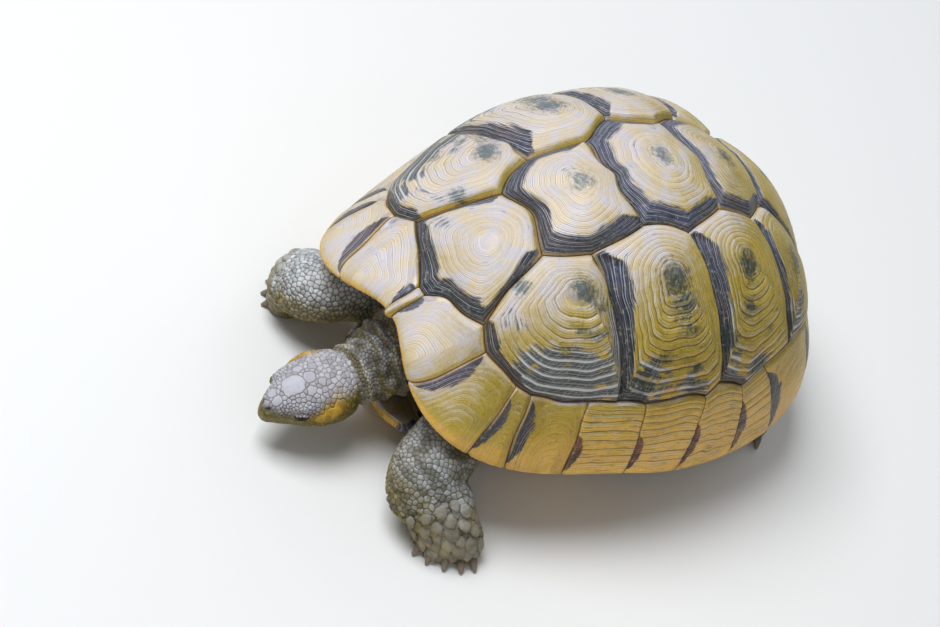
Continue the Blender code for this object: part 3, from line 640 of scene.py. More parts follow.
def marginal_places(corners, start_angle, end_angle):
    """Where the points of a rim plate lie: shares along it, angles at the rim, all angles, and places."""
    edge, _ = seam_path(corners, MARGINAL_EDGE_STEP)
    lengths = run_along(edge)
    widest = max(lengths[-1] * DISC_SIZE, abs(end_angle - start_angle) * RIM_RADIUS)
    columns = max(FEWEST_COLUMNS, round(widest / MARGINAL_POINT_STEP))
    along = np.linspace(0, 1, columns + 1)
    edge = np.stack([np.interp(along * lengths[-1], lengths, edge[:, k]) for k in (0, 1)], axis=-1)
    upper_angles = np.arctan2(edge[:, 0], -edge[:, 1])
    upper_angles = upper_angles + 2 * math.pi * (upper_angles < start_angle - math.pi / 2)
    upper_reach = np.hypot(*edge.T)
    rim_angles = np.linspace(start_angle, end_angle, columns + 1)
    on_lip = 1 + np.linspace(0, TURN_END - 1, LIP_ROWS + 1)[1:]
    underneath = TURN_END + np.linspace(0, UNDER_END - TURN_END, UNDER_ROWS + 1)[1:]
    down = np.concatenate([np.linspace(0, 1, MARGINAL_ROWS + 1), on_lip, underneath])
    share = held(down)[:, None]
    angle = mix(upper_angles[None], rim_angles[None], share)
    reach = mix(upper_reach[None], 1.0, share) + np.clip(down - 1, 0, None)[:, None]
    places = joined(reach * np.sin(angle), -reach * np.cos(angle))
    return along, rim_angles, angle, wander(places.reshape(-1, 2)).reshape(places.shape)


def walled_sheet(outer, normal, depth):
    """A closed plate: its outer sheet of points, then the walls and a coarse inner sheet."""
    rows, cols = outer.shape[:2]
    points = outer.reshape(-1, 3)
    grid = np.arange(rows * cols).reshape(rows, cols)
    border = border_of(grid)
    count = len(border)
    first_wall = len(points)
    points = np.concatenate([points, points[border] - normal.reshape(-1, 3)[border] * depth])
    quads = joined(grid[:-1, :-1], grid[:-1, 1:], grid[1:, 1:], grid[1:, :-1]).reshape(-1, 4)
    faces = [tuple(q) for q in quads.tolist()]
    for i in range(count):
        j = (i + 1) % count
        faces.append((int(border[j]), int(border[i]), first_wall + i, first_wall + j))
    at = {int(b): first_wall + i for i, b in enumerate(border)}
    for r in range(rows - 1):
        corners_in = (grid[r, 0], grid[r + 1, 0], grid[r + 1, -1], grid[r, -1])
        faces.append(tuple(at[int(c)] for c in corners_in))
    faces.append(tuple(at[int(c)] for c in grid[0]))
    faces.append(tuple(at[int(c)] for c in grid[-1, ::-1]))
    return points, faces, border


def marginal(name, corners, start_angle, end_angle, wedge, seed, material, middle_start=MARGINAL_START):
    """A horny plate of the rim: from its upper edge out to the rim, round it and back underneath."""
    wide, wedge_start, wedge_end, rust = wedge
    along, rim_angles, angle, places = marginal_places(corners, start_angle, end_angle)
    surface = shell_point(places[..., 0], places[..., 1])
    shape = surface.shape[:2]
    across = np.gradient(surface, axis=1)
    normal = unit(np.cross(across, np.gradient(surface, axis=0)))
    outward = joined(np.sin(angle), -np.cos(angle), np.ones_like(angle))
    if np.sum(normal[: MARGINAL_ROWS // 2] * outward[: MARGINAL_ROWS // 2]) < 0:
        normal = -normal

    run = run_along(surface.mean(axis=1))
    tall = run[MARGINAL_ROWS]
    forward_first = abs(rim_angles[0]) < abs(rim_angles[-1])
    u = np.repeat((along if forward_first else 1 - along)[None], shape[0], axis=0)
    v = np.repeat((run / tall)[:, None], shape[1], axis=1)
    start_u, start_v = middle_start
    u_gap = np.where(u < start_u, (start_u - u) / start_u, (u - start_u) / (1 - start_u))
    v_gap = np.where(v < start_v, (start_v - v) / start_v, (v - start_v) / BELOW_START)
    bend = mix(*MARGINAL_BENDS, rust)
    level = ramp(*LEVEL_RUST, rust)
    u_gap = u_gap * mix(1.0, LEVEL_SIDE_SHARE, level)
    spread = (u_gap**bend + v_gap**bend) ** (1 / bend)
    spread = mix(spread, AREOLA_SHARE + (1 - AREOLA_SHARE) * spread, level)
    spread = held(spread)
    edges = ring_edges(MARGINAL_YEARS, default_rng(seed))
    swirl = ripple_over(surface, MARGINAL_SWIRL_SIZE, seed + 5)
    number = ring_number(spread, edges) + MARGINAL_SWIRL * swirl
    width = norm(across, axis=-1).sum(axis=1).mean()
    around = u * width

    side_gap = np.minimum(u, 1 - u) * width
    rusty = ramp(*RUSTY, rust)
    ring_width = np.diff(edges).mean() * np.full(shape, tall)
    height = MARGINAL_DOME * (1 - spread**2) - MARGINAL_SINK
    height = height + mix(*MARGINAL_RELIEF, rusty) * ring_relief(number, ring_width)
    groove = SIDE_GROOVE * hump(side_gap, SIDE_GROOVE)
    groove = groove + SEAM_DEPTH * hump(v * tall, SEAM_WIDTH)
    height = height * (UNDER_RELIEF + (1 - UNDER_RELIEF) * ramp(*RIM_FADE, v)) - groove
    height = height - SIDE_GROOVE * held(1 - v * tall / UPPER_SLOPE) ** UPPER_SLOPE_POWER
    height += RIM_GRAIN * ripple_over(surface, RIM_GRAIN_SIZE, seed + 7)

    along_wedge = held((v - wedge_start) / (wedge_end - wedge_start))
    wedge_width = wide * MM * np.sin(math.pi * along_wedge ** WEDGE_POWERS[0]) ** WEDGE_POWERS[1]
    amount = 1 - 0.5 * around / np.maximum(wedge_width, 1e-9)
    amount = np.where(wedge_width > LEAST_WEDGE, amount, 0)
    dark = stair_dark(held(amount), number, v * tall, seed, WEDGE_RAGGED)
    inward = np.minimum(side_gap, v * tall)
    points, faces, border = walled_sheet(surface + normal * height[..., None], normal, SCUTE_DEPTH)

    def whole(values):
        values = np.broadcast_to(values, shape).ravel()
        return np.concatenate([values, values[border]])

    fields = {
        "growth": whole(number),
        "around": whole(around / MM),
        "dark": whole(dark),
        "inward": whole(np.clip(inward / MM, 0, LARGEST_INWARD)),
        "lines": whole(mix(*MARGINAL_LINES, rusty)),
        "rust": whole(rust),
    }
    thing = mesh_object(name + "_plate", points, faces, material, fields)
    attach(thing, "root")
    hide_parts(name)


def carapace(horn):
    """All the plates of the upper shell."""
    for number, (names, start, bands) in enumerate(VERTEBRALS, 1):
        left = [corner(n) for n in names]
        right = [corner(n, -1) for n in reversed(names)]
        outline, seams = seam_path(left + right + left[:1], SEAM_POINT_STEP)
        front_side, rear_side, rear, front = bands
        row = (front_side, rear_side, rear, rear_side, front_side, front)
        scute(f"vertebral_{number}", outline[:-1], seams[:-1], start, row, "vertebral", 100 + number, horn)
    for side_name, side in (("left", 1), ("right", -1)):
        for number, (names, start, bands) in enumerate(COSTALS, 1):
            corners = [corner(n, side) for n in names]
            outline, seams = seam_path(corners + corners[:1], SEAM_POINT_STEP)
            name = f"costal_{side_name}_{number}"
            began = (side * start[0], start[1])
            seed = 200 + 10 * number + (side < 0)
            scute(name, outline[:-1], seams[:-1], began, bands, "costal", seed, horn)
        for number, (names, wedge) in enumerate(MARGINALS, 1):
            corners = [corner(n, side) for n in names]
            start, end = np.radians(RIM_SEAMS[number - 1 : number + 1]) * side
            if side < 0:
                corners, start, end = corners[::-1], end, start
            seed = 300 + 10 * number + (side < 0)
            marginal(f"marginal_{side_name}_{number}", corners, start, end, wedge, seed, horn)
    first = math.radians(RIM_SEAMS[0])
    nuchal_corners = [corner("nuchal_v1", -1), corner("nuchal_v1")]
    marginal("nuchal", nuchal_corners, -first, first, NUCHAL_WEDGE, 401, horn, NUCHAL_START)
    last = math.radians(RIM_SEAMS[-1])
    tail_corners = [corner("v5_m11"), corner("v5_m11", -1)]
    whole_turn = 2 * math.pi
    marginal("supracaudal", tail_corners, last, whole_turn - last, TAIL_WEDGE, 402, horn, TAIL_START)


# The head: distance forward of its back, half width, top and underside, in mm
HEAD_STATIONS = (
    (0, 10.6, 8.6, -8.4), (3.5, 12.2, 9.9, -9.6), (8, 12.9, 10.5, -10.2), (13, 12.4, 10.5, -10.0),
    (18, 11.0, 10.2, -9.4), (22, 9.3, 9.5, -8.7), (25.7, 7.2, 8.0, -8.0), (29, 5.2, 5.7, -7.2),
    (31.5, 3.2, 3.2, -6.2), (32.7, 1.6, 0.8, -4.6),
)
HEAD_SIDE_POWER = 0.85
HEAD_TOP_POWER = 0.9
HEAD_CHEEKS = 0.10
HEAD_PLACE = (-0.5, -80, 22)
HEAD_DOWN = 8.0
HEAD_TURN = 1.0
EYE_RADIUS = 3.0
EYE_PLACE = (6.9, 22.0, 0.9)
MOUTH_CORNER = 13.5
HEAD_REACH = 17.0

# The neck, legs and tail: place of each ring, half width and half depth, in mm
NECK = (
    ((0, -48, 34), 17, 15), ((0, -62, 30), 15, 13.5), ((-0.3, -72.5, 25), 12.5, 11),
    ((-0.5, -79, 22.5), 10.4, 8.4),
)
FORELEG_LEFT = (
    ((27, -42, 27), 12, 12), ((35, -60, 24.5), 12.5, 12), ((43, -73, 20), 13.5, 11.5),
    ((51, -73, 14.5), 14, 9.5), ((56.5, -70, 9), 13.5, 8), ((59, -68, 3.5), 12.8, 7.5),
    ((59.5, -67.5, 0), 12, 7),
)
FORELEG_RIGHT = (
    ((-25, -42, 27), 12, 12), ((-33, -57, 24), 12.5, 12), ((-39.5, -68, 20), 13.5, 11.5),
    ((-47, -69, 14.5), 14, 9.5), ((-50.5, -67, 9), 13.5, 8), ((-51.5, -65.5, 3.5), 12.8, 7.5),
    ((-51, -65, 0), 12, 7),
)
HINDLEG_LEFT = (
    ((33, 52, 28), 12, 12), ((41, 62, 22), 11, 11), ((46, 70, 15), 10.3, 10.3), ((48.5, 74, 9), 9.6, 9.6),
    ((50, 75.5, 3.5), 9.4, 9.2), ((50.5, 76, 0), 8.6, 8.4),
)
HINDLEG_RIGHT = tuple(((-x, y, z), width, depth) for (x, y, z), width, depth in HINDLEG_LEFT)
TAIL = (
    ((0, 84, 17), 8, 7), ((1, 98, 15), 6.4, 5.6), ((4, 106, 13), 4.6, 4.2), ((8, 110.5, 11.5), 2.0, 2.0),
)
LEVELLING_HEIGHTS = (22 * MM, 6 * MM)
# Each limb: its rows, the way its foot points, and how many claws it has
LIMBS = {
    "foreleg_left": (FORELEG_LEFT, (0.8, -0.6, 0), 5),
    "foreleg_right": (FORELEG_RIGHT, (-0.8, -0.6, 0), 5),
    "hindleg_left": (HINDLEG_LEFT, (0.5, -0.85, 0), 4),
    "hindleg_right": (HINDLEG_RIGHT, (-0.7, -0.7, 0), 4),
}
CLAW_SPREAD = 116
CLAW_ROOT_DEPTH = 0.7
CLAW_ROOT_WIDTH = 0.8
CLAW_INSIDE_FOOT = 0.3
CLAW_PROUD = 3.9
CLAW_ROOT_HEIGHT = 2.55
CLAW_TIP_HEIGHT = 0.55

TRUNK_RINGS = (0.18, 0.36, 0.52, 0.66)
TRUNK_UNDER_SCUTES = 6.0 * MM
TRUNK_BEHIND_LIP = 18.0 * MM
TRUNK_FOOT_BEHIND_LIP = 29.0 * MM
TRUNK_SHOULDER = 4.0 * MM
TRUNK_FOOT = 5.0 * MM

SKIN_CELL = 0.6 * MM
RING_SIDES = 44
ROUTE_STEPS = 8
SKIN_UNDER_SOLID = 0.3

SKIN_NODES = (
    "trunk", "neck", "head", "lower_jaw", "foreleg_left", "foreleg_right", "forefoot_left",
    "forefoot_right", "hindleg_left", "hindleg_right", "hindfoot_left", "hindfoot_right", "tail",
)


def smooth_route(rows, steps):
    """Points between the rows on a smooth curve through them; each row is one flat list of numbers."""
    rows = np.array(rows, float)
    padded = np.concatenate([2 * rows[:1] - rows[1:2], rows, 2 * rows[-1:] - rows[-2:-1]])
    route = []
    for i in range(1, len(padded) - 2):
        p0, p1, p2, p3 = padded[i - 1 : i + 3]
        for k in range(steps):
            t = k / steps
            bend = (2 * p0 - 5 * p1 + 4 * p2 - p3) * t**2 + (3 * p1 - p0 - 3 * p2 + p3) * t**3
            route.append(0.5 * (2 * p1 + (p2 - p0) * t + bend))
    return np.array(route + [rows[-1]])


def turns_round(count):
    """Angles evenly spaced once round."""
    return np.linspace(0, 2 * math.pi, count, endpoint=False)


def limb_route(stations, steps):
    """The smooth route of a limb: its place, half width and half depth, in mm."""
    return smooth_route([(*place, width, depth) for place, width, depth in stations], steps)


def limb_rings(stations, across, stands=False):
    """Oval rings square to a limb's route, turned level near the floor where the limb stands on it."""
    route = limb_route(stations, ROUTE_STEPS) * MM
    places = route[:, :3]
    along = unit(np.gradient(places, axis=0))
    if stands:
        level = ramp(*LEVELLING_HEIGHTS, places[:, 2:])
        along = unit(mix(along, np.array((0, 0, -1.0)), level))
    turns = turns_round(RING_SIDES)
    sides = unit(np.cross(along, np.cross(across, along)))
    others = np.cross(along, sides)
    slim = SKIN_UNDER_SOLID * MM
    oval = np.cos(turns)[None, :, None] * (sides * (route[:, 3:4] - slim))[:, None]
    oval = oval + np.sin(turns)[None, :, None] * (others * (route[:, 4:5] - slim))[:, None]
    return places[:, None] + oval


def ring_solid(rings):
    """Points and faces of a closed solid through rings of points."""
    rings = np.asarray(rings)
    rows, count = rings.shape[:2]
    ends = [ring.mean(axis=0)[None] for ring in (rings[0], rings[-1])]
    points = np.concatenate([rings.reshape(-1, 3), *ends])
    faces = ring_quads(rows, count) + fan_back(count, rows * count)
    return points, faces + fan((rows - 1) * count, count, rows * count + 1)


BALL_ROWS = 13
BALL_SIDES = 20
BALL_END = 0.06


def ball_rings(middle, radius):
    """Rings of a ball, in mm; radius may differ along x, y and z."""
    tilts = np.linspace(BALL_END, math.pi - BALL_END, BALL_ROWS)
    turns = turns_round(BALL_SIDES)
    level = [np.outer(np.sin(tilts), np.cos(turns)), np.outer(np.sin(tilts), np.sin(turns))]
    rings = joined(*level, np.outer(np.cos(tilts), np.ones(BALL_SIDES)))
    return (np.array(middle) + rings * np.array(radius)) * MM


def head_frame():
    """Turns head coordinates (left, forward, up) into the tortoise's, in metres."""
    turn = Matrix.Rotation(math.radians(HEAD_TURN), 4, "Z")
    down = Matrix.Rotation(math.radians(HEAD_DOWN), 4, "X")
    forward = Matrix.Diagonal((1, -1, 1, 1))
    return np.array(Matrix.Translation(Vector(HEAD_PLACE) * MM) @ turn @ down @ forward)


HEAD_FRAME = head_frame()


def from_head(points):
    return np.asarray(points) * MM @ HEAD_FRAME[:3, :3].T + HEAD_FRAME[:3, 3]


def into_head(points):
    return (points - HEAD_FRAME[:3, 3]) @ HEAD_FRAME[:3, :3] / MM


HEAD_SIDES = 64
HEAD_STEPS = 6


def head_rings():
    """Rings of the head, a little inside its solid."""
    turns = turns_round(HEAD_SIDES)
    cosine, sine = np.cos(turns), np.sin(turns)
    rings = []
    for forward, half_width, top, bottom in smooth_route(HEAD_STATIONS, HEAD_STEPS):
        half_width, top, bottom = (v - math.copysign(SKIN_UNDER_SOLID, v) for v in (half_width, top, bottom))
        left = np.sign(cosine) * np.abs(cosine) ** HEAD_SIDE_POWER * half_width * (1 - HEAD_CHEEKS * sine)
        up = (top + bottom) / 2 + np.sign(sine) * np.abs(sine) ** HEAD_TOP_POWER * (top - bottom) / 2
        rings.append(from_head(joined(left, np.full_like(left, forward), up)))
    return rings


def trunk_rings():
    """Rings of the trunk, under the scutes and inside the shell's openings."""
    angles = turns_round(RING_SIDES)
    folded = np.abs(np.where(angles > math.pi, angles - 2 * math.pi, angles))
    rings = []
    for out in TRUNK_RINGS:
        left, back = out * np.sin(angles), -out * np.cos(angles)
        rings.append(shell_point(left, back) - shell_normal(left, back) * TRUNK_UNDER_SCUTES)
    rim = RIM_REACH(folded)
    shoulder = RIM_HEIGHT(folded) + TRUNK_SHOULDER
    foot = np.full_like(rim, TRUNK_FOOT)
    for behind, level in ((TRUNK_BEHIND_LIP, shoulder), (TRUNK_FOOT_BEHIND_LIP, foot)):
        row = [np.sin(angles) * (rim - behind), SHELL_MIDDLE_Y - np.cos(angles) * (rim - behind)]
        rings.append(joined(*row, PLASTRON_LIFT + level))
    return rings


def claw_places(limb):
    """The root and the tip of each claw of a limb, in mm, and the way it faces."""
    stations, heading, number = LIMBS[limb]
    place, width, depth = stations[-1]
    ahead = np.array(heading) / norm(heading)
    side = np.array((ahead[1], -ahead[0], 0))
    places = []
    for k in range(number):
        turn = math.radians(CLAW_SPREAD) * (k / (number - 1) - 0.5)
        facing = ahead * math.cos(turn / 2) + side * math.sin(turn / 2)
        root = np.array(place) + ahead * math.cos(turn) * depth * CLAW_ROOT_DEPTH
        root = root + side * math.sin(turn) * width * CLAW_ROOT_WIDTH
        tip = root + facing * (depth * CLAW_INSIDE_FOOT + CLAW_PROUD)
        root[2], tip[2] = CLAW_ROOT_HEIGHT, CLAW_TIP_HEIGHT
        places.append((root, tip, facing))
    return places


# A ball of flesh at the root of each claw, and one over each shoulder, in mm
TOE_FORWARD = 0.4
TOE_UP = 0.5
TOE_SIZE = (2.3, 2.3, 2.9)
SHOULDERS = (((29, -50, 26), (12, 13, 12)), ((-27, -49, 26), (12, 12, 12)))


def flesh_pieces():
    """The overlapping solids that the skin is drawn over."""
    across = np.array((1.0, 0.0, 0.0))
    pieces = [trunk_rings(), head_rings(), limb_rings(NECK, across), limb_rings(TAIL, across)]
    for limb, (stations, heading, _) in LIMBS.items():
        pieces.append(limb_rings(stations, np.cross((0, 0, 1), heading), stands=True))
        for root, _, facing in claw_places(limb):
            pieces.append(ball_rings(root + facing * TOE_FORWARD + np.array((0, 0, TOE_UP)), TOE_SIZE))
    pieces += [ball_rings(middle, radius) for middle, radius in SHOULDERS]
    return [ring_solid(rings) for rings in pieces]


def fused(pieces, cell):
    """One closed skin over all the pieces."""
    points, faces, start = [], [], 0
    for piece_points, piece_faces in pieces:
        points.append(piece_points)
        faces += [tuple(start + i for i in face) for face in piece_faces]
        start += len(piece_points)
    mesh = bpy.data.meshes.new("flesh")
    mesh.from_pydata(np.concatenate(points).tolist(), [], faces)
    thing = into_scene("flesh", mesh)
    face_out(thing)
    fuse = thing.modifiers.new("fuse", "REMESH")
    fuse.mode = "VOXEL"
    fuse.voxel_size = cell
    return thing


def settle(thing):
    """Leaves the object with the mesh that its modifiers make, and no modifiers."""
    graph = bpy.context.evaluated_depsgraph_get()
    made = bpy.data.meshes.new_from_object(thing.evaluated_get(graph))
    thing.modifiers.clear()
    thing.data = made


def read_rows(items, key, width, kind):
    """One value of every item of a mesh, as rows of numbers."""
    values = np.empty(len(items) * width, kind)
    items.foreach_get(key, values)
    return values.reshape(-1, width)


def points_of(mesh):
    return read_rows(mesh.vertices, "co", 3, np.float32).astype(float)


def normals_of(mesh):
    return read_rows(mesh.vertex_normals, "vector", 3, np.float32).astype(float)


def edges_of(mesh):
    return read_rows(mesh.edges, "vertices", 2, np.int32)


def put_points(mesh, points):
    mesh.vertices.foreach_set("co", np.ascontiguousarray(points, np.float32).ravel())
    mesh.update()


RELAX_FACTORS = (0.55, -0.57)


def relax(points, edges, rounds):
    """Smooths the points along their edges without shrinking the whole."""
    count = len(points)
    near = np.concatenate([edges[:, 0], edges[:, 1]])
    far = np.concatenate([edges[:, 1], edges[:, 0]])
    degree = np.maximum(np.bincount(near, minlength=count), 1)
    for _ in range(rounds):
        for factor in RELAX_FACTORS:
            total = np.stack([np.bincount(near, points[far, k], count) for k in range(3)], axis=-1)
            points = points + factor * (total / degree[:, None] - points)
    return points


# The part of the body inside the shell: its half width, half length and middle, the stretch behind the
# bridges, and the heights where the shell covers it, in mm
BODY_HALF_WIDTH = 71
BODY_HALF_LENGTH = 100
BODY_MIDDLE = 10.5
BEHIND_BRIDGE = (-28, 44)
OUT_OF_SHELL = (0.60, 0.70)
UNDER_SHELL = (52, 44)


def visible_share(points):
    """1 where the skin can be seen outside the shell, and 0 deep inside it."""
    x, y, z = (points / MM).T
    out = np.hypot(x / BODY_HALF_WIDTH, (y - BODY_MIDDLE) / BODY_HALF_LENGTH)
    bridge = (y > BEHIND_BRIDGE[0]) & (y < BEHIND_BRIDGE[1])
    return ramp(*OUT_OF_SHELL, out) * ~bridge * ramp(*UNDER_SHELL, z)


LIMB_STEPS = 6
LIMB_STEP_LENGTH = 3


def limb_place(points, limb):
    """How far down a limb each point is, its distance from the limb's middle line, and the way down it."""
    middles = limb_route(LIMBS[limb][0], LIMB_STEPS)[:, :3]
    gaps = np.stack([norm(points / MM - m, axis=1) for m in middles], axis=-1)
    nearest = gaps.argmin(axis=1)
    along = unit(np.gradient(middles, axis=0))[nearest]
    offset = points / MM - middles[nearest]
    between = np.clip((offset * along).sum(1) / LIMB_STEP_LENGTH, -0.5, 0.5)
    return (nearest + between) / (len(middles) - 1), gaps.min(axis=1), along


# The head's plates, each grown round one or more places (left, forward, up), with its size in mm and its
# paleness; those off the middle line stand on both sides
HEAD_PLATES = (
    (((0.4, 23.6, 9.0), (0.4, 22.2, 9.3)), 2.9, 0.80),
    (((1.9, 29.3, 5.4),), 1.2, 0.65),
    (((0.0, 31.8, 2.6),), 0.9, 0.55),
    (((0.2, 16.6, 10.2),), 1.5, 0.60),
    (((4.9, 18.2, 9.6),), 1.0, 0.75),
    (((3.4, 13.6, 10.3),), 0.8, 0.35),
    (((11.0, 16.4, 0.4), (11.5, 13.4, 2.4), (11.3, 10.2, 4.2)), 1.9, 0.85),
    (((12.6, 8.2, -3.2),), 2.0, 0.5),
    (((9.6, 19.2, -5.0),), 1.0, 0.4),
)

# Swellings and hollows of the head: how high in mm, then their middle and their radii (left, forward, up)
HEAD_SWELLS = (
    (1.35, (7.4, 22.6, 4.9), (2.4, 5.0, 1.5)),
    (-0.5, (9.0, 17.6, -2.2), (3, 2.6, 2.4)),
    (-0.55, (12.4, 6.8, -2.2), (3, 2.4, 2.4)),
    (0.35, (10.8, 6.5, -7.0), (3, 5, 2.5)),
    (-0.45, (0, 27.6, 7.0), (1.6, 2.2, 2.5)),
    (0.35, (0, 31.2, 3.2), (3.2, 1.8, 2.4)),
)
# The long plate of the temple: its middle (forward, up), the way it lies, and how it stands out
TEMPLE_MIDDLE = (13.2, 2.4)
TEMPLE_WAY = (0.86, 0.5)
TEMPLE_PROUD = 0.95
TEMPLE_HALF_SIZE = (6.0, 2.6)
TEMPLE_COLOUR_HALF_SIZE = (6.6, 3.4)
TEMPLE_FROM = 6

# The line of the mouth: its height, then how much it rises over stretches of the head, from and to, in mm
MOUTH_HEIGHT = -4.4
MOUTH_BENDS = ((0.7, 20, 27), (-1.3, 29.5, 32.4), (-1.0, 18, 13.5))
MOUTH_DEPTH, MOUTH_WIDTH = 1.0, 0.34
LIP_PROUD, LIP_ABOVE, LIP_WIDTH = 0.40, 0.9, 0.8
CHIN_BACK = 0.55
CHIN_RANGE = (-3.4, -0.4)
NOSTRIL_PLACE = (1.55, 1.9)
NOSTRIL_DEPTH, NOSTRIL_RADIUS, NOSTRIL_SHADE = 1.1, 0.62, 0.8
SNOUT = (28.5, 30)

# The lids: where the eye looks, how far they reach, and the slit between them
EYE_WAY = (0.87, 0.42, 0.26)
LID_REACH = 6.5
LID_FACING = 0.05
LID_SOFT = (0.05, 0.45)
LID_HALF_WIDTH = 2.55
LID_OPEN = 0.95
LID_LOWERED = 0.1
LID_EDGE = (-0.05, 0.22)
LID_THICKNESS = 0.42
LID_FOLD, LID_FOLD_RADIUS, LID_FOLD_WIDTH = 0.22, 2.1, 0.22
LID_FOLD_LONG = 1.3
SLIT_DEPTH = 0.5


def temple_place(forward, up):
    """Where a point lies along and across the plate of the temple, in mm."""
    ahead, above = forward - TEMPLE_MIDDLE[0], up - TEMPLE_MIDDLE[1]
    along, across = TEMPLE_WAY
    return ahead * along - above * across, ahead * across + above * along


def eyelids(moved, on_head):
    """Draws the skin over the eyeball as two lids with a slit between them."""
    place = into_head(moved)
    side = np.sign(place[:, 0])
    centre = joined(side * EYE_PLACE[0], *(np.full_like(side, v) for v in EYE_PLACE[1:]))
    gap = place - centre
    reach = norm(gap, axis=1)
    outward = unit(joined(side * EYE_WAY[0], *(np.full_like(side, v) for v in EYE_WAY[1:])))
    level = unit(np.cross(np.array((0, 0, 1.0)), outward)) * side[:, None]
    upright = np.cross(outward, level) * side[:, None]
    toward = gap / np.maximum(reach, 1e-6)[:, None]
    facing = (toward * outward).sum(1)
    across = (toward * level).sum(1) * EYE_RADIUS
    upward = (toward * upright).sum(1) * EYE_RADIUS
    near_eye = (facing > LID_FACING) & (reach < LID_REACH) & (on_head > 0)
    opening = np.sqrt(held(1 - (across / LID_HALF_WIDTH) ** 2))
    top_lid, low_lid = LID_OPEN * opening - LID_LOWERED, -LID_OPEN * opening
    in_slit = ramp(*LID_EDGE, np.minimum(top_lid - upward, upward - low_lid))
    fold_gap = np.hypot(across / LID_FOLD_LONG, upward) - LID_FOLD_RADIUS
    lid = EYE_RADIUS + LID_THICKNESS - LID_FOLD * hump(fold_gap, LID_FOLD_WIDTH)
    soft = ramp(*LID_SOFT, facing)
    wanted = mix(np.maximum(reach, lid), EYE_RADIUS - SLIT_DEPTH, in_slit)
    new_reach = np.where(near_eye, mix(reach, wanted, soft), reach)
    place = centre + toward * new_reach[:, None]
    slit = np.where(near_eye, in_slit * soft, 0)
    on_lid = np.where(near_eye, ramp(1.5, 0.2, np.abs(reach - lid)) * soft, 0)
    return np.where(near_eye[:, None], from_head(place), moved), slit, on_lid


def head_shape(points, normals):
    """Moves the skin of the head into its brows, lids, nostrils, beak and cheeks."""
    place = into_head(points)
    left, forward, up = np.abs(place[:, 0]), place[:, 1], place[:, 2]
    folded = joined(left, forward, up)
    on_head = ramp(-1.0, 1.5, forward) * (left < HEAD_REACH)
    shift = np.zeros(len(points))
    for height, middle, radii in HEAD_SWELLS:
        shift += height * np.exp(-(((folded - middle) / radii) ** 2).sum(-1))
    along, across = temple_place(forward, up)
    plate = (along / TEMPLE_HALF_SIZE[0]) ** 4 + (across / TEMPLE_HALF_SIZE[1]) ** 2
    shift += TEMPLE_PROUD * np.exp(-plate) * (left > TEMPLE_FROM)

    bends = (rise * ramp(start, end, forward) for rise, start, end in MOUTH_BENDS)
    mouth = sum(bends, MOUTH_HEIGHT)
    in_mouth = ramp(MOUTH_CORNER - 1.0, MOUTH_CORNER + 1.0, forward)
    above = up - mouth
    shift -= in_mouth * MOUTH_DEPTH * hump(above, MOUTH_WIDTH)
    shift += in_mouth * LIP_PROUD * hump(above - LIP_ABOVE, LIP_WIDTH)
    shift -= in_mouth * CHIN_BACK * ramp(*CHIN_RANGE, above) * (above < 0)
    nostril = np.hypot(left - NOSTRIL_PLACE[0], up - NOSTRIL_PLACE[1])
    shift -= NOSTRIL_DEPTH * hump(nostril, NOSTRIL_RADIUS) * ramp(*SNOUT, forward)
    moved, slit, lid = eyelids(points + normals * (shift * on_head * MM)[:, None], on_head)
    marks = {
        "slit": slit,
        "lid": lid,
        "beak": in_mouth * ramp(19, 24, forward) * ramp(4.2, 2.2, np.abs(above)) * on_head,
        "mouth": in_mouth * hump(above, 0.5) * on_head,
        "nostril": hump(nostril, NOSTRIL_SHADE) * ramp(*SNOUT, forward),
        "on_head": on_head,
    }
    return moved, marks


NECK_HALF_WIDTH = 19
FOLD_SPACING = 5.2
# Folds round the neck just behind the head: how high, where and how wide, in mm
COLLAR_FOLDS = ((1.5, 2.2, 1.1), (-0.8, -0.6, 0.9), (-0.8, 4.8, 1.2))
LEG_RADIUS = {"fore": 17, "hind": 14}
CREASES = (0.40, 0.455)
CREASE_WIDTH = 0.012
CREASE_DEPTH = 0.8


def fold_shape(points, normals, limb_places):
    """Folds of loose skin on the neck and in the bends of the legs."""
    places = points / MM
    x, y, z = places.T
    left, forward, _ = into_head(points).T
    on_neck = ramp(-1.0, -3.0, forward) * (np.abs(x) < NECK_HALF_WIDTH) * ramp(-50, -58, y)
    back = y + 0.35 * z + 0.10 * np.abs(x)
    folds = np.sin((back + 1.3 * ripple(places, 14.0, 501)) * 2 * math.pi / FOLD_SPACING)
    shift = on_neck * (0.75 * folds + 0.45 * ripple(places, 5.0, 502) - 0.2)
    collar = sum(height * hump(forward + behind, width) for height, behind, width in COLLAR_FOLDS)
    shift = shift + collar * (np.abs(left) < HEAD_REACH)
    uneven = 0.02 * ripple(places, 10.0, 503)
    loose = ripple(places, 9.0, 504)
    for limb, (down, reach, _) in limb_places.items():
        on_limb = (reach < LEG_RADIUS[limb[:4]]) * (ramp(30, 12, np.abs(z)) if "fore" in limb else 1.0)
        creases = sum(hump(down + uneven - at, CREASE_WIDTH) for at in CREASES)
        shift = shift - CREASE_DEPTH * on_limb * creases
        shift = shift + 0.35 * on_limb * loose
    shift = shift * ramp(0.5, 3.0, z)
    return points + normals * (shift * MM)[:, None]


def tree_of(points):
    """The points, sorted so that the nearest ones are quickly found."""
    tree = KDTree(len(points))
    for i, point in enumerate(points):
        tree.insert(point, i)
    tree.balance()
    return tree


def scatter(points, spacing, seed):
    """Picks points at least their spacing apart."""
    tree = tree_of(points)
    free = np.ones(len(points), bool)
    chosen = []
    for i in default_rng(seed).permutation(len(points)):
        if free[i]:
            chosen.append(i)
            for _, j, _ in tree.find_range(points[i], spacing[i]):
                free[j] = False
    return np.array(chosen)


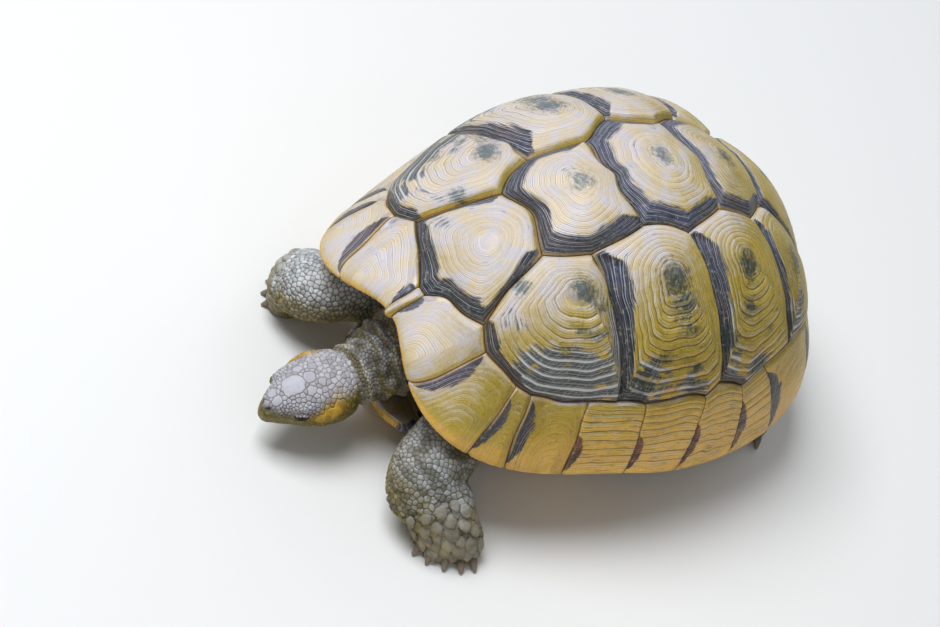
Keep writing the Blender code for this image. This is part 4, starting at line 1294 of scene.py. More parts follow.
# How far apart the scales' middles are, in mm, and how they widen down a leg
SCALE_SEED = 61
BODY_SCALES = 1.9
LEG_SCALES = 1.7
LOW_LEG_SCALES = {"fore": 3.0, "hind": 2.4}
DOWN_LEG = (0.35, 0.62)
SOLE_SCALES, SOLE_HEIGHT = 2.2, 4
NECK_SCALES = 1.25
BROW_SCALES = 1.1
FACE_SCALES, CROWN_SCALES = 1.45, 1.85
CLOSENESS = 0.86
CLEAR_OF_PLATES = 0.9


def scale_spacing(points, limb_places, on_head):
    """How far apart the scales are, from place to place on the skin."""
    place = into_head(points)
    spacing = np.full(len(points), BODY_SCALES)
    for limb, (down, reach, _) in limb_places.items():
        near = reach < LEG_RADIUS["fore"]
        widening = mix(LEG_SCALES, LOW_LEG_SCALES[limb[:4]], ramp(*DOWN_LEG, down))
        spacing = np.where(near, widening, spacing)
        spacing = np.where(near & (points[:, 2] / MM < SOLE_HEIGHT), SOLE_SCALES, spacing)
    neck = (~on_head) & (np.abs(points[:, 0]) < 18 * MM) & (points[:, 1] < -50 * MM)
    spacing = np.where(neck, NECK_SCALES, spacing)
    left, forward, up = np.abs(place[:, 0]), place[:, 1], place[:, 2]
    brow = (left > 4.2) & (forward > 18.5) & (forward < 28.5) & (np.abs(up - 4) < 3)
    face = mix(FACE_SCALES, CROWN_SCALES, ramp(2.0, 8.0, up))
    return np.where(on_head, np.where(brow, BROW_SCALES, face), spacing)


def skin_scales(points, limb_places, marks):
    """The mosaic of scales: each point's gap to the next scale, its own scale's tint, its place in that and
    the scale's size."""
    spacing = scale_spacing(points, limb_places, marks["on_head"] > 0.5)
    plates = []
    for centres, size, pale in HEAD_PLATES:
        for side in (1, -1) if abs(centres[0][0]) > 0.5 else (1,):
            plates.append((from_head(np.array(centres) * (side, 1, 1)), size, pale))
    to_plate = [
        np.min([norm(points - c, axis=1) for c in centres], axis=0) / MM - size
        for centres, size, _ in plates
    ]
    picked = np.flatnonzero(np.min(to_plate, axis=0) > CLEAR_OF_PLATES)
    chosen = picked[scatter(points[picked], spacing[picked] * MM * CLOSENESS, SCALE_SEED)]
    tree = tree_of(points[chosen])
    found = np.empty((len(points), 2))
    owner = np.empty(len(points), int)
    for i, point in enumerate(points):
        (_, own_seed, near), (_, _, far) = tree.find_n(point, 2)
        found[i] = near, far
        owner[i] = own_seed
    first, second = found[:, 0] / MM, found[:, 1] / MM
    tint = default_rng(SCALE_SEED + 1).uniform(0, 1, len(chosen))[owner]
    own = (points - points[chosen[owner]]) / MM
    plate_size = spacing[chosen[owner]] * 0.5
    for (centres, size, pale), value in zip(plates, to_plate):
        nearer = value < first
        second = np.where(nearer, first, np.minimum(second, value))
        first = np.where(nearer, value, first)
        tint = np.where(nearer, pale, tint)
        plate_size = np.where(nearer, size + 1.0, plate_size)
        own = np.where(nearer[:, None], (points - centres.mean(axis=0)) / MM * 0.6, own)
    return second - first, tint, own, plate_size


FIRST_SMOOTHING, SECOND_SMOOTHING, LAST_SMOOTHING = 14, 4, 2
HIDDEN_BELOW = 0.02
HIDDEN_SHARE = 0.30
SPLIT_ABOVE = 0.05
# How high the scales stand, in mm: small ones and large ones, more on the fine ones of the brow, their
# domes, and the way they lap down the legs
SCALE_RELIEF = (0.24, 0.42)
SCALE_SIZES = (0.6, 1.6)
BROW_RELIEF = 0.20
SCALE_DOME = 0.16
SCALE_LAP = 0.10
SCALE_GROOVE = 0.55
# How far down the head's sides the dark cheeks reach, partly painted shade, in mm
CHEEK_DEPTH = 4.5


def refine(mesh, chosen):
    """Splits every edge whose two ends are both chosen."""
    shape = bmesh.new()
    shape.from_mesh(mesh)
    split = [e for e in shape.edges if chosen[e.verts[0].index] and chosen[e.verts[1].index]]
    bmesh.ops.subdivide_edges(shape, edges=split, cuts=1, use_grid_fill=True)
    shape.to_mesh(mesh)
    shape.free()


def bare_skin():
    """The smooth skin before its folds and scales, fine where it shows and finest on the head."""
    thing = fused(flesh_pieces(), SKIN_CELL)
    settle(thing)
    points = relax(points_of(thing.data), edges_of(thing.data), FIRST_SMOOTHING)
    points[:, 2] = np.maximum(points[:, 2], 0)
    put_points(thing.data, points)
    group = thing.vertex_groups.new(name="hidden")
    for i in np.flatnonzero(visible_share(points) < HIDDEN_BELOW):
        group.add([int(i)], 1.0, "REPLACE")
    thin = thing.modifiers.new("thin", "DECIMATE")
    thin.ratio = HIDDEN_SHARE
    thin.vertex_group = "hidden"
    settle(thing)
    mesh = thing.data
    refine(mesh, visible_share(points_of(mesh)) > SPLIT_ABOVE)
    put_points(mesh, relax(points_of(mesh), edges_of(mesh), SECOND_SMOOTHING))
    left, forward, _ = into_head(points_of(mesh)).T
    refine(mesh, (forward > 1) & (np.abs(left) < HEAD_REACH))
    points = relax(points_of(mesh), edges_of(mesh), LAST_SMOOTHING)
    put_points(mesh, points)
    return thing, points


def skin(material):
    """One skin over the head, neck, legs, tail and trunk."""
    thing, points = bare_skin()
    mesh = thing.data
    limb_places = {limb: limb_place(points, limb) for limb in LIMBS}
    points = fold_shape(points, normals_of(mesh), limb_places)
    put_points(mesh, points)
    points, marks = head_shape(points, normals_of(mesh))
    put_points(mesh, points)
    inside, tint, own, plate_size = skin_scales(points, limb_places, marks)
    groove = ramp(SCALE_GROOVE, 0.0, inside)
    left, forward, up = into_head(points).T
    left = np.abs(left)
    relief = mix(*SCALE_RELIEF, ramp(*SCALE_SIZES, plate_size))
    relief = relief + BROW_RELIEF * (plate_size < SCALE_SIZES[0]) * marks["on_head"]
    bare = held(marks["beak"] + marks["slit"] + marks["mouth"] + 0.4 * marks["lid"])
    dome = 1 - held(norm(own, axis=1) / (plate_size + 1.2)) ** 2
    height = relief * (1 - groove) + SCALE_DOME * dome - relief
    for down, reach, along in limb_places.values():
        lapped = (reach < LEG_RADIUS["fore"]) * ramp(0.35, 0.6, down)
        distal = np.clip((own * along).sum(1) / plate_size, -1, 1)
        height = height + SCALE_LAP * lapped * distal * (1 - groove)
    height = height * (1 - bare) * ramp(0.0, 1.2, points[:, 2] / MM)
    points = points + normals_of(mesh) * (height * MM)[:, None]
    points[:, 2] = np.maximum(points[:, 2], 0)
    put_points(mesh, points)

    along, across = temple_place(forward, up)
    temple = (along / TEMPLE_COLOUR_HALF_SIZE[0]) ** 4 + (across / TEMPLE_COLOUR_HALF_SIZE[1]) ** 4
    temple = np.exp(-temple) * (left > TEMPLE_FROM)
    side_top = mix(4.2, 8.6, ramp(20.0, 14.0, forward))
    collar = hump(forward + 2.4, 1.5) * ramp(2.0, 6.0, left) * (forward > -6)
    fields = {
        "inside": np.clip(inside, 0, 5),
        "tint": tint,
        "head": marks["on_head"],
        "temple": temple * marks["on_head"],
        # cheek: the lower sides of the head, darkened partly as painted shade
        "cheek": ramp(side_top, side_top - CHEEK_DEPTH, up) * marks["on_head"],
        "beak": marks["beak"],
        # mouth: the mouth's crease and the nostril pits, darkened as painted shade
        "mouth": held(marks["mouth"] + marks["nostril"]),
        # slit: the edges of the lids round the eye, darkened as painted shade
        "slit": marks["slit"],
        "collar": collar * (left < HEAD_REACH),
        "neck": ramp(-1.5, -5.0, forward) * (left < HEAD_REACH + 4),
        # pale: the upper right foreleg, which the finish paints with a highlight on its top
        "pale": ramp(-18.0, -30.0, points[:, 0] / MM) * ramp(-36.0, -50.0, points[:, 1] / MM),
    }
    write_fields(mesh, fields)
    mesh.shade_smooth()
    mesh.materials.clear()
    mesh.materials.append(material)
    thing.name = "skin"
    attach(thing, "root")
    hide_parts(*SKIN_NODES)
    return thing


# Rows of raised scales: the limb, how far down it, where round it from its front in degrees, and the
# scales' length and width in mm
RAISED_SCALES = (
    ("fore", 0.50, (-62, -30, 0, 30), 4.2, 4.0),
    ("fore", 0.565, (-80, -46, -15, 15, 46), 4.8, 4.4),
    ("fore", 0.63, (-64, -31, 0, 31, 62), 5.4, 4.9),
    ("fore", 0.70, (-82, -48, -16, 16, 48, 80), 5.8, 5.2),
    ("fore", 0.77, (-66, -32, 0, 32, 64), 5.8, 5.4),
    ("fore", 0.84, (-84, -50, -17, 17, 50, 82), 5.0, 5.0),
    ("hind", 0.52, (120, 160, 200, 240), 4.0, 4.4),
    ("hind", 0.64, (110, 150, 190, 230), 4.6, 4.8),
    ("hind", 0.76, (120, 160, 200, 240), 4.8, 5.0),
    ("hind", 0.74, (-50, -18, 18, 50), 3.8, 4.0),
)
PLATE_RINGS = 7
PLATE_SIDES = 22
PLATE_PATCH = 0.003
COAT_CHART = 0.46

SHIELD_HEIGHT = 0.62
SHIELD_TILT = 0.28
SHIELD_POINT = 0.16
SHIELD_UNEVEN = 0.05
SHIELD_DOME_POWER = 2.6
SHIELD_UNDERCUT = 0.97
SHIELD_EDGE_DEPTH = 0.45
SHIELD_ROOT_DEPTH = 1.2


def shield(length, width, lean, draw):
    """A raised scale lying flat: a domed shield, pointed at the far end and rooted at the near one, in mm."""
    turns = turns_round(PLATE_SIDES)
    point = 1 + SHIELD_POINT * np.maximum(np.cos(turns), 0) ** 3
    edge = joined(np.cos(turns) * length / 2 * point, np.sin(turns) * width / 2)
    edge *= (1 + SHIELD_UNEVEN * draw.normal(size=PLATE_SIDES))[:, None]

    def tilt(flat):
        return lean * (flat[:, 0] / length + SHIELD_TILT)

    rings = [np.column_stack([edge * SHIELD_UNDERCUT, tilt(edge) - SHIELD_EDGE_DEPTH])]
    for share in np.linspace(1, 0, PLATE_RINGS + 1)[:-1]:
        dome = SHIELD_HEIGHT * (1 - share**SHIELD_DOME_POWER)
        rings.append(np.column_stack([edge * share, dome + tilt(edge * share)]))
    level = lean * SHIELD_TILT
    ends = np.array([[0, 0, SHIELD_HEIGHT + level], [0, 0, level - SHIELD_ROOT_DEPTH]])
    rows = PLATE_RINGS + 1
    faces = ring_quads(rows, PLATE_SIDES) + fan(PLATE_RINGS * PLATE_SIDES, PLATE_SIDES, rows * PLATE_SIDES)
    return np.concatenate([*rings, ends]), faces + fan_back(PLATE_SIDES, rows * PLATE_SIDES + 1)


SCALE_LEAN = 0.9
SCALE_TURN_SPREAD = 2.5
SCALE_SIZE_SPREAD = (0.9, 1.1)
SCALE_FROM_OUTSIDE = 30
SCALE_LOWEST = 2.2
SCALE_FACING = 0.6
SCALE_ABOVE_FLOOR = 0.02
LEG_BEND_ACROSS, LEG_BEND_ALONG = 11.0, 22.0
CHART_STEP, CHART_MARGIN = 0.5, 0.02


def raised_scales(limb, number, surface, material):
    """The raised scales of one leg, as one coat piece."""
    stations, heading, _ = LIMBS[limb]
    route = limb_route(stations, LIMB_STEPS)
    along = unit(np.gradient(route[:, :3], axis=0))
    ahead = unit(np.array(heading, float))
    draw = default_rng(700 + number)
    chart = np.array((number % 2, number // 2)) * CHART_STEP + CHART_MARGIN
    points, faces, patches, tints = [], [], [], []
    start = 0
    for kind, down, turns, length, width in RAISED_SCALES:
        if kind not in limb:
            continue
        at = down * (len(route) - 1)
        low = min(int(at), len(route) - 2)
        middle = mix(route[low, :3], route[low + 1, :3], at - low)
        axis = unit(mix(along[low], along[low + 1], at - low))
        front = unit(ahead - axis * (ahead @ axis))
        aside = np.cross(axis, front)
        for turn in turns:
            angle = math.radians(turn + draw.normal(0, SCALE_TURN_SPREAD))
            way = front * math.cos(angle) + aside * math.sin(angle)
            outside = Vector((middle + way * SCALE_FROM_OUTSIDE) * MM)
            hit, normal, _, _ = surface.ray_cast(outside, Vector(-way))
            if hit is None:
                continue
            hit, normal = np.array(hit) / MM, np.array(normal)
            if hit[2] < SCALE_LOWEST or norm(hit - middle) > LEG_RADIUS["fore"]:
                continue
            normal = unit(mix(normal, way, SCALE_FACING))
            distal = unit(axis - normal * (axis @ normal))
            across = np.cross(normal, distal)
            size = draw.uniform(*SCALE_SIZE_SPREAD)
            shape, shape_faces = shield(length * size, width * size, SCALE_LEAN, draw)
            bend = -(shape[:, 1] ** 2) / (2 * LEG_BEND_ACROSS)
            bend = bend - np.maximum(shape[:, 0], 0) ** 2 / (2 * LEG_BEND_ALONG)
            placed = hit + shape[:, :1] * distal + shape[:, 1:2] * across
            placed = placed + (shape[:, 2:] + bend[:, None]) * normal
            placed[:, 2] = np.maximum(placed[:, 2], SCALE_ABOVE_FLOOR)
            points.append(placed * MM)
            faces += [tuple(start + i for i in face) for face in shape_faces]
            start += len(shape)
            root = chart + COAT_CHART * np.array(((turn % 360) / 360, down))
            patches.append(root + shape[:, :2] / max(length, width) * PLATE_PATCH)
            tints.append(np.full(len(shape), draw.uniform()))
    fields = {"tint": np.concatenate(tints)}
    thing = mesh_object(f"raised_scales_{limb}", np.concatenate(points), faces, material, fields)
    layer = thing.data.uv_layers.new(name="OFBake")
    corners = read_rows(thing.data.loops, "vertex_index", 1, np.int32)[:, 0]
    patches = np.concatenate(patches)[corners]
    layer.data.foreach_set("uv", np.ascontiguousarray(patches, np.float32).ravel())
    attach(thing, "root")


CLAW_ROWS = 16
CLAW_SIDES = 20

CLAW_BACK = 0.6
CLAW_RAISED = 0.35
CLAW_ARCH = 0.85
CLAW_ARCH_POWER = 0.9
CLAW_RADIUS = 2.05
CLAW_TAPER = 0.80
CLAW_BLUNT_FROM, CLAW_BLUNT = 0.99, 0.55
CLAW_FLATTENING = 0.84
CLAW_KEEL = 0.10
CLAW_RIBS, CLAW_RIBS_PER_MM = 0.012, 9


def claw(name, root, tip, facing, material):
    """A blunt, curved, dark horn claw."""
    upward = np.array((0, 0, 1))
    start = root - facing * CLAW_BACK + upward * CLAW_RAISED
    side = unit(np.cross(facing, upward))
    length = norm(tip - start)
    turns = turns_round(CLAW_SIDES)
    rings, wear = [], []
    for share in np.linspace(0, 1, CLAW_ROWS):
        middle = mix(start, tip, share) + upward * CLAW_ARCH * math.sin(math.pi * share**CLAW_ARCH_POWER)
        slope = unit(tip - start + upward * CLAW_ARCH * math.pi * math.cos(math.pi * share))
        above = np.cross(side, slope)
        girth = CLAW_RADIUS * (1 - share**2.0 * CLAW_TAPER) * (1.0 if share < CLAW_BLUNT_FROM else CLAW_BLUNT)
        ribs = CLAW_RIBS * np.sin(share * length * CLAW_RIBS_PER_MM)
        ridge = 1 + CLAW_KEEL * np.maximum(np.sin(turns), 0) ** 4 + ribs
        ring = middle + np.outer(np.cos(turns) * girth * ridge, side)
        ring = ring + np.outer(np.sin(turns) * girth * CLAW_FLATTENING * ridge, above)
        ring[:, 2] = np.maximum(ring[:, 2], 0.0)
        rings.append(ring * MM)
        wear.append(np.full(CLAW_SIDES, share))
    points, faces = ring_solid(rings)
    fields = {"toward_tip": np.concatenate(wear + [[0.0, 1.0]])}
    thing = mesh_object(name, points, faces, material, fields)
    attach(thing, "root")


def claws(material):
    for limb in LIMBS:
        for number, (root, tip, facing) in enumerate(claw_places(limb), 1):
            claw(f"claw_{limb}_{number}", root, tip, facing, material)


SPUR_PLACE = (24, 78, 21)
SPUR_LENGTH = 5.0


def spurs(surface, material):
    """The horny spur on the back of each thigh, beside the tail."""
    for side_name, side in (("left", 1), ("right", -1)):
        place = Vector(np.array(SPUR_PLACE) * (side, 1, 1) * MM)
        hit, normal, _, _ = surface.find_nearest(place)
        way = unit(0.5 * np.array(normal) + np.array((0.25 * side, 0.85, -0.25)))
        root = np.array(hit) / MM
        claw(f"thigh_spur_{side_name}", root, root + way * SPUR_LENGTH, way, material)


EYE_ROWS = 39
EYE_SIDES = 48
EYE_UNDER_LID = 0.04
CORNEA_BULGE, CORNEA_WIDTH = 0.035, 0.55


def eye(name, side, material):
    """An eyeball with its pupil outward."""
    place = np.array(EYE_PLACE)
    middle = from_head(place * (side, 1, 1))
    way = unit(from_head((place + EYE_WAY) * (side, 1, 1)) - middle)
    across = unit(np.cross(way, (0, 0, 1)))
    above = np.cross(across, way)
    turns = turns_round(EYE_SIDES)
    rings, off = [], []
    for tilt in np.linspace(0, math.pi, EYE_ROWS + 2)[1:-1]:
        bulge = 1 + CORNEA_BULGE * math.exp(-((tilt / CORNEA_WIDTH) ** 2))
        ring = way * math.cos(tilt) + np.outer(np.cos(turns), across) * math.sin(tilt)
        ring = ring + np.outer(np.sin(turns), above) * math.sin(tilt)
        rings.append(middle + ring * (EYE_RADIUS - EYE_UNDER_LID) * bulge * MM)
        off.append(np.full(EYE_SIDES, tilt))
    points, faces = ring_solid(rings)
    fields = {"off_middle": np.concatenate(off + [[0.0, math.pi]])}
    thing = mesh_object(f"{name}_ball", points, faces, material, fields)
    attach(thing, "root")
    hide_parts(name)


# The plastron: distance rearward of the shell's middle and half width, in mm
PLASTRON_OUTLINE = (
    (-79, 12), (-73, 23), (-63, 30), (-53, 34), (-46, 38), (-41, 44), (-24, 48.5), (-10, 53.5), (4, 57.5),
    (20, 60), (37, 58.5), (45, 41), (58, 35), (72, 28.5), (81, 18),
)
PLASTRON_THICKNESS = 4.0 * MM
PLASTRON_BRIDGE_START = 0.87
PLASTRON_BRIDGE_FRONT = (-47 * MM, -40 * MM)
PLASTRON_BRIDGE_REAR = (37 * MM, 46 * MM)
GULAR_RISE = 4.0 * MM
GULAR_BEND = (-62 * MM, -80 * MM)
# Seams across the plastron: distance rearward at the midline, at mid width and at the edge, in mm
PLASTRON_SEAMS = ((-64, -68, -76), (-43, -40, -42), (-24, -27, -31), (31, 34, 41), (60, 55, 50))
PLASTRON_ROWS = 170
PLASTRON_COLUMNS = 120

# Unevenness and relief of the plastron, in mm
SEAM_UNEVEN, SEAM_UNEVEN_SIZE = 0.7, 24.0
FAR_SEAM = 99
PLASTRON_YEARS, PLASTRON_YEAR_WIDTH = 10, 2.2
OLDEST_RING = (22, 17)
RINGS_UP_TO = 21
PLASTRON_RIDGE, PLASTRON_RIDGE_POWER, PLASTRON_RIDGE_LEVEL = 0.10, 0.6, 0.6
PLASTRON_SEAM_DEPTH, PLASTRON_SEAM_WIDTH = 0.5, 0.55
EDGE_ROUNDING, EDGE_ROUNDING_WIDTH = 1.3, 2.2
PATCH_SIZE, PATCH_SHIFT = 26.0, 300
PATCH_EDGE = (0.15, 0.7)
PLASTRON_LINES = 0.15


def plastron(material):
    """The lower shell, with its pairs of scutes and a dark patch on each."""
    table = np.array(PLASTRON_OUTLINE, float)
    backs = np.linspace(table[0, 0], table[-1, 0], PLASTRON_ROWS)
    widths = np.interp(backs, *table.T)
    across = np.linspace(-1, 1, PLASTRON_COLUMNS)
    x = across[None] * widths[:, None]
    back = np.repeat(backs[:, None], PLASTRON_COLUMNS, axis=1)
    flat = joined(x, back)
    bridge = ramp(*PLASTRON_BRIDGE_FRONT, back * MM)
    bridge = bridge * (1 - ramp(*PLASTRON_BRIDGE_REAR, back * MM))
    rise = bridge * BRIDGE_FOOT * ramp(PLASTRON_BRIDGE_START, 1, np.abs(across)[None])
    rise = rise + GULAR_RISE * ramp(*GULAR_BEND, back * MM)
    uneven = SEAM_UNEVEN * ripple_over(flat, SEAM_UNEVEN_SIZE, 801)
    sideways = np.abs(x) / 50
    seams = []
    for middle, mid, edge in PLASTRON_SEAMS:
        line = np.where(sideways < 0.5, mix(middle, mid, sideways * 2), mix(mid, edge, sideways * 2 - 1))
        seams.append(back - line - uneven)
    seams = np.stack(seams, -1)
    seam_gap = np.abs(seams).min(-1)
    middle_gap = np.abs(x + 0.5 * uneven)
    edge_gap = (1 - np.abs(across))[None] * widths[:, None]
    inward = np.minimum(seam_gap, middle_gap)
    ahead = np.where(seams > 0, seams, FAR_SEAM).min(-1)
    ahead = np.where(ahead == FAR_SEAM, back - table[0, 0], ahead)
    growth_gap = np.minimum(ahead, middle_gap * 0.9)
    number = PLASTRON_YEARS - np.clip(growth_gap, 0, OLDEST_RING[0]) / PLASTRON_YEAR_WIDTH
    ridge = np.sin(math.pi * (number % 1.0)) ** PLASTRON_RIDGE_POWER - PLASTRON_RIDGE_LEVEL
    depth = PLASTRON_RIDGE * ridge * ramp(*OLDEST_RING, growth_gap)
    depth = depth - PLASTRON_SEAM_DEPTH * hump(inward, PLASTRON_SEAM_WIDTH)
    bottom = joined(x * MM, SHELL_MIDDLE_Y + back * MM, PLASTRON_LIFT + rise - depth * MM)
    rounding = EDGE_ROUNDING * MM * held(1 - edge_gap / EDGE_ROUNDING_WIDTH) ** 2
    bottom[..., 2] += rounding
    top = bottom.copy()
    top[..., 2] = PLASTRON_LIFT + rise + PLASTRON_THICKNESS - rounding
    grid = np.arange(x.size).reshape(x.shape)
    points = np.concatenate([bottom.reshape(-1, 3), top.reshape(-1, 3)])
    quads = joined(grid[:-1, :-1], grid[1:, :-1], grid[1:, 1:], grid[:-1, 1:]).reshape(-1, 4)
    faces = [tuple(q) for q in quads.tolist()] + [tuple(q[::-1]) for q in (quads + x.size).tolist()]
    border = border_of(grid).tolist()
    faces += [(a, b, b + x.size, a + x.size) for a, b in zip(border, border[1:] + border[:1])]
    patch = ripple_over(flat + PATCH_SHIFT, PATCH_SIZE, 811)
    patch = patch + 0.5 * ramp(6, 14, seam_gap) - 0.35 * (middle_gap < 6)
    dark = ramp(*PATCH_EDGE, patch)

    def whole(values):
        return np.tile(np.broadcast_to(values, x.shape).ravel(), 2)

    fields = {
        "growth": whole(np.where(growth_gap < RINGS_UP_TO, number, -1.0)),
        "around": whole(np.abs(back) + 0.4 * x),
        "dark": whole(dark * (inward > 1.2)),
        "inward": whole(np.clip(inward, 0, LARGEST_INWARD)),
        "lines": whole(PLASTRON_LINES),
    }
    thing = mesh_object("plastron_plate", points, faces, material, fields)
    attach(thing, "root")
    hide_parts("plastron")


def new_material(name):
    """A material, its shader and the recipe that joins its nodes."""
    material = bpy.data.materials.new(name)
    material.use_nodes = True
    return material, material.node_tree.nodes["Principled BSDF"], Nodes(material.node_tree)


class Nodes:
    """Adds shader nodes to a tree and joins them, so that a finish reads as a recipe."""

    def __init__(self, tree):
        self.tree = tree

    def add(self, kind, settings=None, **inputs):
        node = self.tree.nodes.new("ShaderNode" + kind)
        for key, value in (settings or {}).items():
            setattr(node, key, value)
        for key, value in inputs.items():
            self.feed(node.inputs[key.replace("_", " ")], value)
        return node

    def feed(self, socket, value):
        if hasattr(value, "is_output"):
            self.tree.links.new(value, socket)
        else:
            socket.default_value = value

    def fill(self, node, *values):
        """Feeds a node's inputs in their order, and gives what it puts out first."""
        for socket, value in zip(node.inputs, values):
            self.feed(socket, value)
        return node.outputs[0]

    def field(self, name):
        return self.add("Attribute", {"attribute_name": name}).outputs["Fac"]

    def maths(self, operation, *values):
        return self.fill(self.add("Math", {"operation": operation}), *values)

    def times(self, a, b):
        return self.maths("MULTIPLY", a, b)

    def plus(self, a, b):
        return self.maths("ADD", a, b)

    def minus(self, a, b):
        return self.maths("SUBTRACT", a, b)

    def stray(self, value, share):
        """How far a value is from its middle, times a share."""
        return self.times(self.minus(value, 0.5), share)

    def blend(self, share, a, b):
        node = self.add("Mix", {"data_type": "RGBA"})
        for number, value in ((0, share), (6, a), (7, b)):
            self.feed(node.inputs[number], value)
        return node.outputs[2]

    def lay(self, base, colour, *shares):
        """A colour laid over a base, by one share or by two multiplied."""
        share = self.times(*shares) if len(shares) == 2 else shares[0]
        return self.blend(share, base, colour)

    def span(self, value, low, high, out_low=0.0, out_high=1.0):
        node = self.add("MapRange", {"interpolation_type": "SMOOTHSTEP"})
        return self.fill(node, value, low, high, out_low, out_high)

    def noise(self, place, scale, detail=3.0, rough=0.55):
        return self.add("TexNoise", Vector=place, Scale=scale, Detail=detail, Roughness=rough).outputs[0]

    def place(self):
        return self.add("NewGeometry").outputs["Position"]

    def normal(self):
        return self.add("NewGeometry").outputs["Normal"]

    def up(self):
        return self.add("SeparateXYZ", Vector=self.normal()).outputs[2]

    def toward(self, x, y, z):
        """How squarely a surface faces a direction."""
        node = self.add("VectorMath", {"operation": "DOT_PRODUCT"})
        self.fill(node, self.normal(), Vector((x, y, z)).normalized())
        return node.outputs["Value"]

    def bump(self, height, strength, distance):
        return self.add("Bump", Height=height, Strength=strength, Distance=distance).outputs[0]

    def use(self, group, **inputs):
        """Places a shared effect here with its own values, and gives what it puts out."""
        return self.add("Group", {"node_tree": group}, **inputs).outputs

    def both(self, x, y, z=0.0):
        return self.fill(self.add("CombineXYZ"), x, y, z)


def rgb(red, green, blue):
    return (red, green, blue, 1.0)


def node_group(name, inputs, outputs):
    """An effect that several finishes use: its tree, what comes in and what goes out."""
    tree = bpy.data.node_groups.new(name, "ShaderNodeTree")
    for label, value in inputs.items():
        kind = "Color" if isinstance(value, tuple) else "Float"
        socket = tree.interface.new_socket(name=label, in_out="INPUT", socket_type="NodeSocket" + kind)
        socket.default_value = value
    for label, kind in outputs:
        tree.interface.new_socket(name=label, in_out="OUTPUT", socket_type="NodeSocket" + kind)
    return Nodes(tree), tree.nodes.new("NodeGroupInput").outputs, tree.nodes.new("NodeGroupOutput").inputs


def mottle_group():
    """A cloudy mask over a surface, between two noise levels."""
    inputs = {"Scale": 100.0, "Detail": 4.0, "Roughness": 0.55, "Low": 0.4, "High": 0.6}
    n, given, made = node_group("mottle", inputs, (("Noise", "Float"), ("Mask", "Float")))
    noise = n.noise(n.place(), given["Scale"], given["Detail"], given["Roughness"])
    n.feed(made["Noise"], noise)
    n.feed(made["Mask"], n.span(noise, given["Low"], given["High"]))
    return n.tree


def dust_group():
    """Fine specks of dust or dried mud laid over a colour."""
    inputs = {"Color": rgb(0.5, 0.5, 0.5), "Dust Color": rgb(0.2, 0.17, 0.12)}
    inputs.update({"Amount": 0.2, "Scale": 1500.0, "Low": 0.55})
    n, given, made = node_group("dust", inputs, (("Color", "Color"), ("Grain", "Float")))
    grain = n.noise(n.place(), given["Scale"], 3.0, 0.7)
    specks = n.span(grain, given["Low"], 0.8, 0.0, given["Amount"])
    n.feed(made["Color"], n.blend(specks, given["Color"], given["Dust Color"]))
    n.feed(made["Grain"], grain)
    return n.tree


# How much dry horn and skin shine
DRY_SPECULAR = 0.32

# Colours of the shell's horn; where there are two, it runs from the first to the second
HORN = {
    "flank": (rgb(0.5, 0.36, 0.05), rgb(0.35, 0.25, 0.026)),
    "low": (rgb(0.88, 0.51, 0.09), rgb(0.7, 0.395, 0.044)),
    # top and line: the second colours are a painted lilac sky sheen, laid where the horn faces the key light
    "top": (rgb(0.7, 0.565, 0.365), rgb(0.6, 0.59, 0.71)),
    "line": (rgb(0.08, 0.058, 0.012), rgb(0.22, 0.185, 0.2)),
    # crest: a painted highlight along each ring's crest, partly paler worn horn
    "crest": rgb(0.72, 0.66, 0.55),
    "scratch": rgb(0.36, 0.25, 0.11),
    "smoke": (rgb(0.02, 0.028, 0.038), rgb(0.13, 0.142, 0.158)),
    "smoke_line": rgb(0.36, 0.36, 0.34),
    # smoke_crest: the same painted crest highlight inside the smoky parts
    "smoke_crest": rgb(0.66, 0.67, 0.66),
    # slate: the second, bluer colour is a painted blue sheen on the upward faces of the bands
    "slate": (rgb(0.014, 0.018, 0.024), rgb(0.048, 0.06, 0.115)),
    "slate_green": rgb(0.014, 0.019, 0.014),
    "slate_brown": rgb(0.085, 0.052, 0.03),
    "slate_streak": rgb(0.125, 0.076, 0.042),
    "slate_scratch": rgb(0.17, 0.155, 0.18),
    # worn: pale lines in the bands, partly worn horn and partly painted highlight, bluer as a painted sheen
    # toward the key light
    "worn": (rgb(0.24, 0.25, 0.27), rgb(0.46, 0.48, 0.58)),
    # slate_groove: painted shade in the ring grooves of the bands, partly a dark growth line
    "slate_groove": rgb(0.008, 0.008, 0.01),
    "rust": (rgb(0.2, 0.07, 0.032), rgb(0.085, 0.035, 0.02)),
    # blotch: the second, bluer colour is a painted sheen where the blotches face the key light
    "blotch": (rgb(0.016, 0.026, 0.024), rgb(0.085, 0.115, 0.125)),
    "blotch_scratch": rgb(0.13, 0.17, 0.165),
    "amber_edge": rgb(0.56, 0.38, 0.15),
    "seam": rgb(0.095, 0.06, 0.03),
    "pit": rgb(0.034, 0.028, 0.012),
    "chip": rgb(0.66, 0.62, 0.54),
    "dust": rgb(0.3, 0.26, 0.2),
}


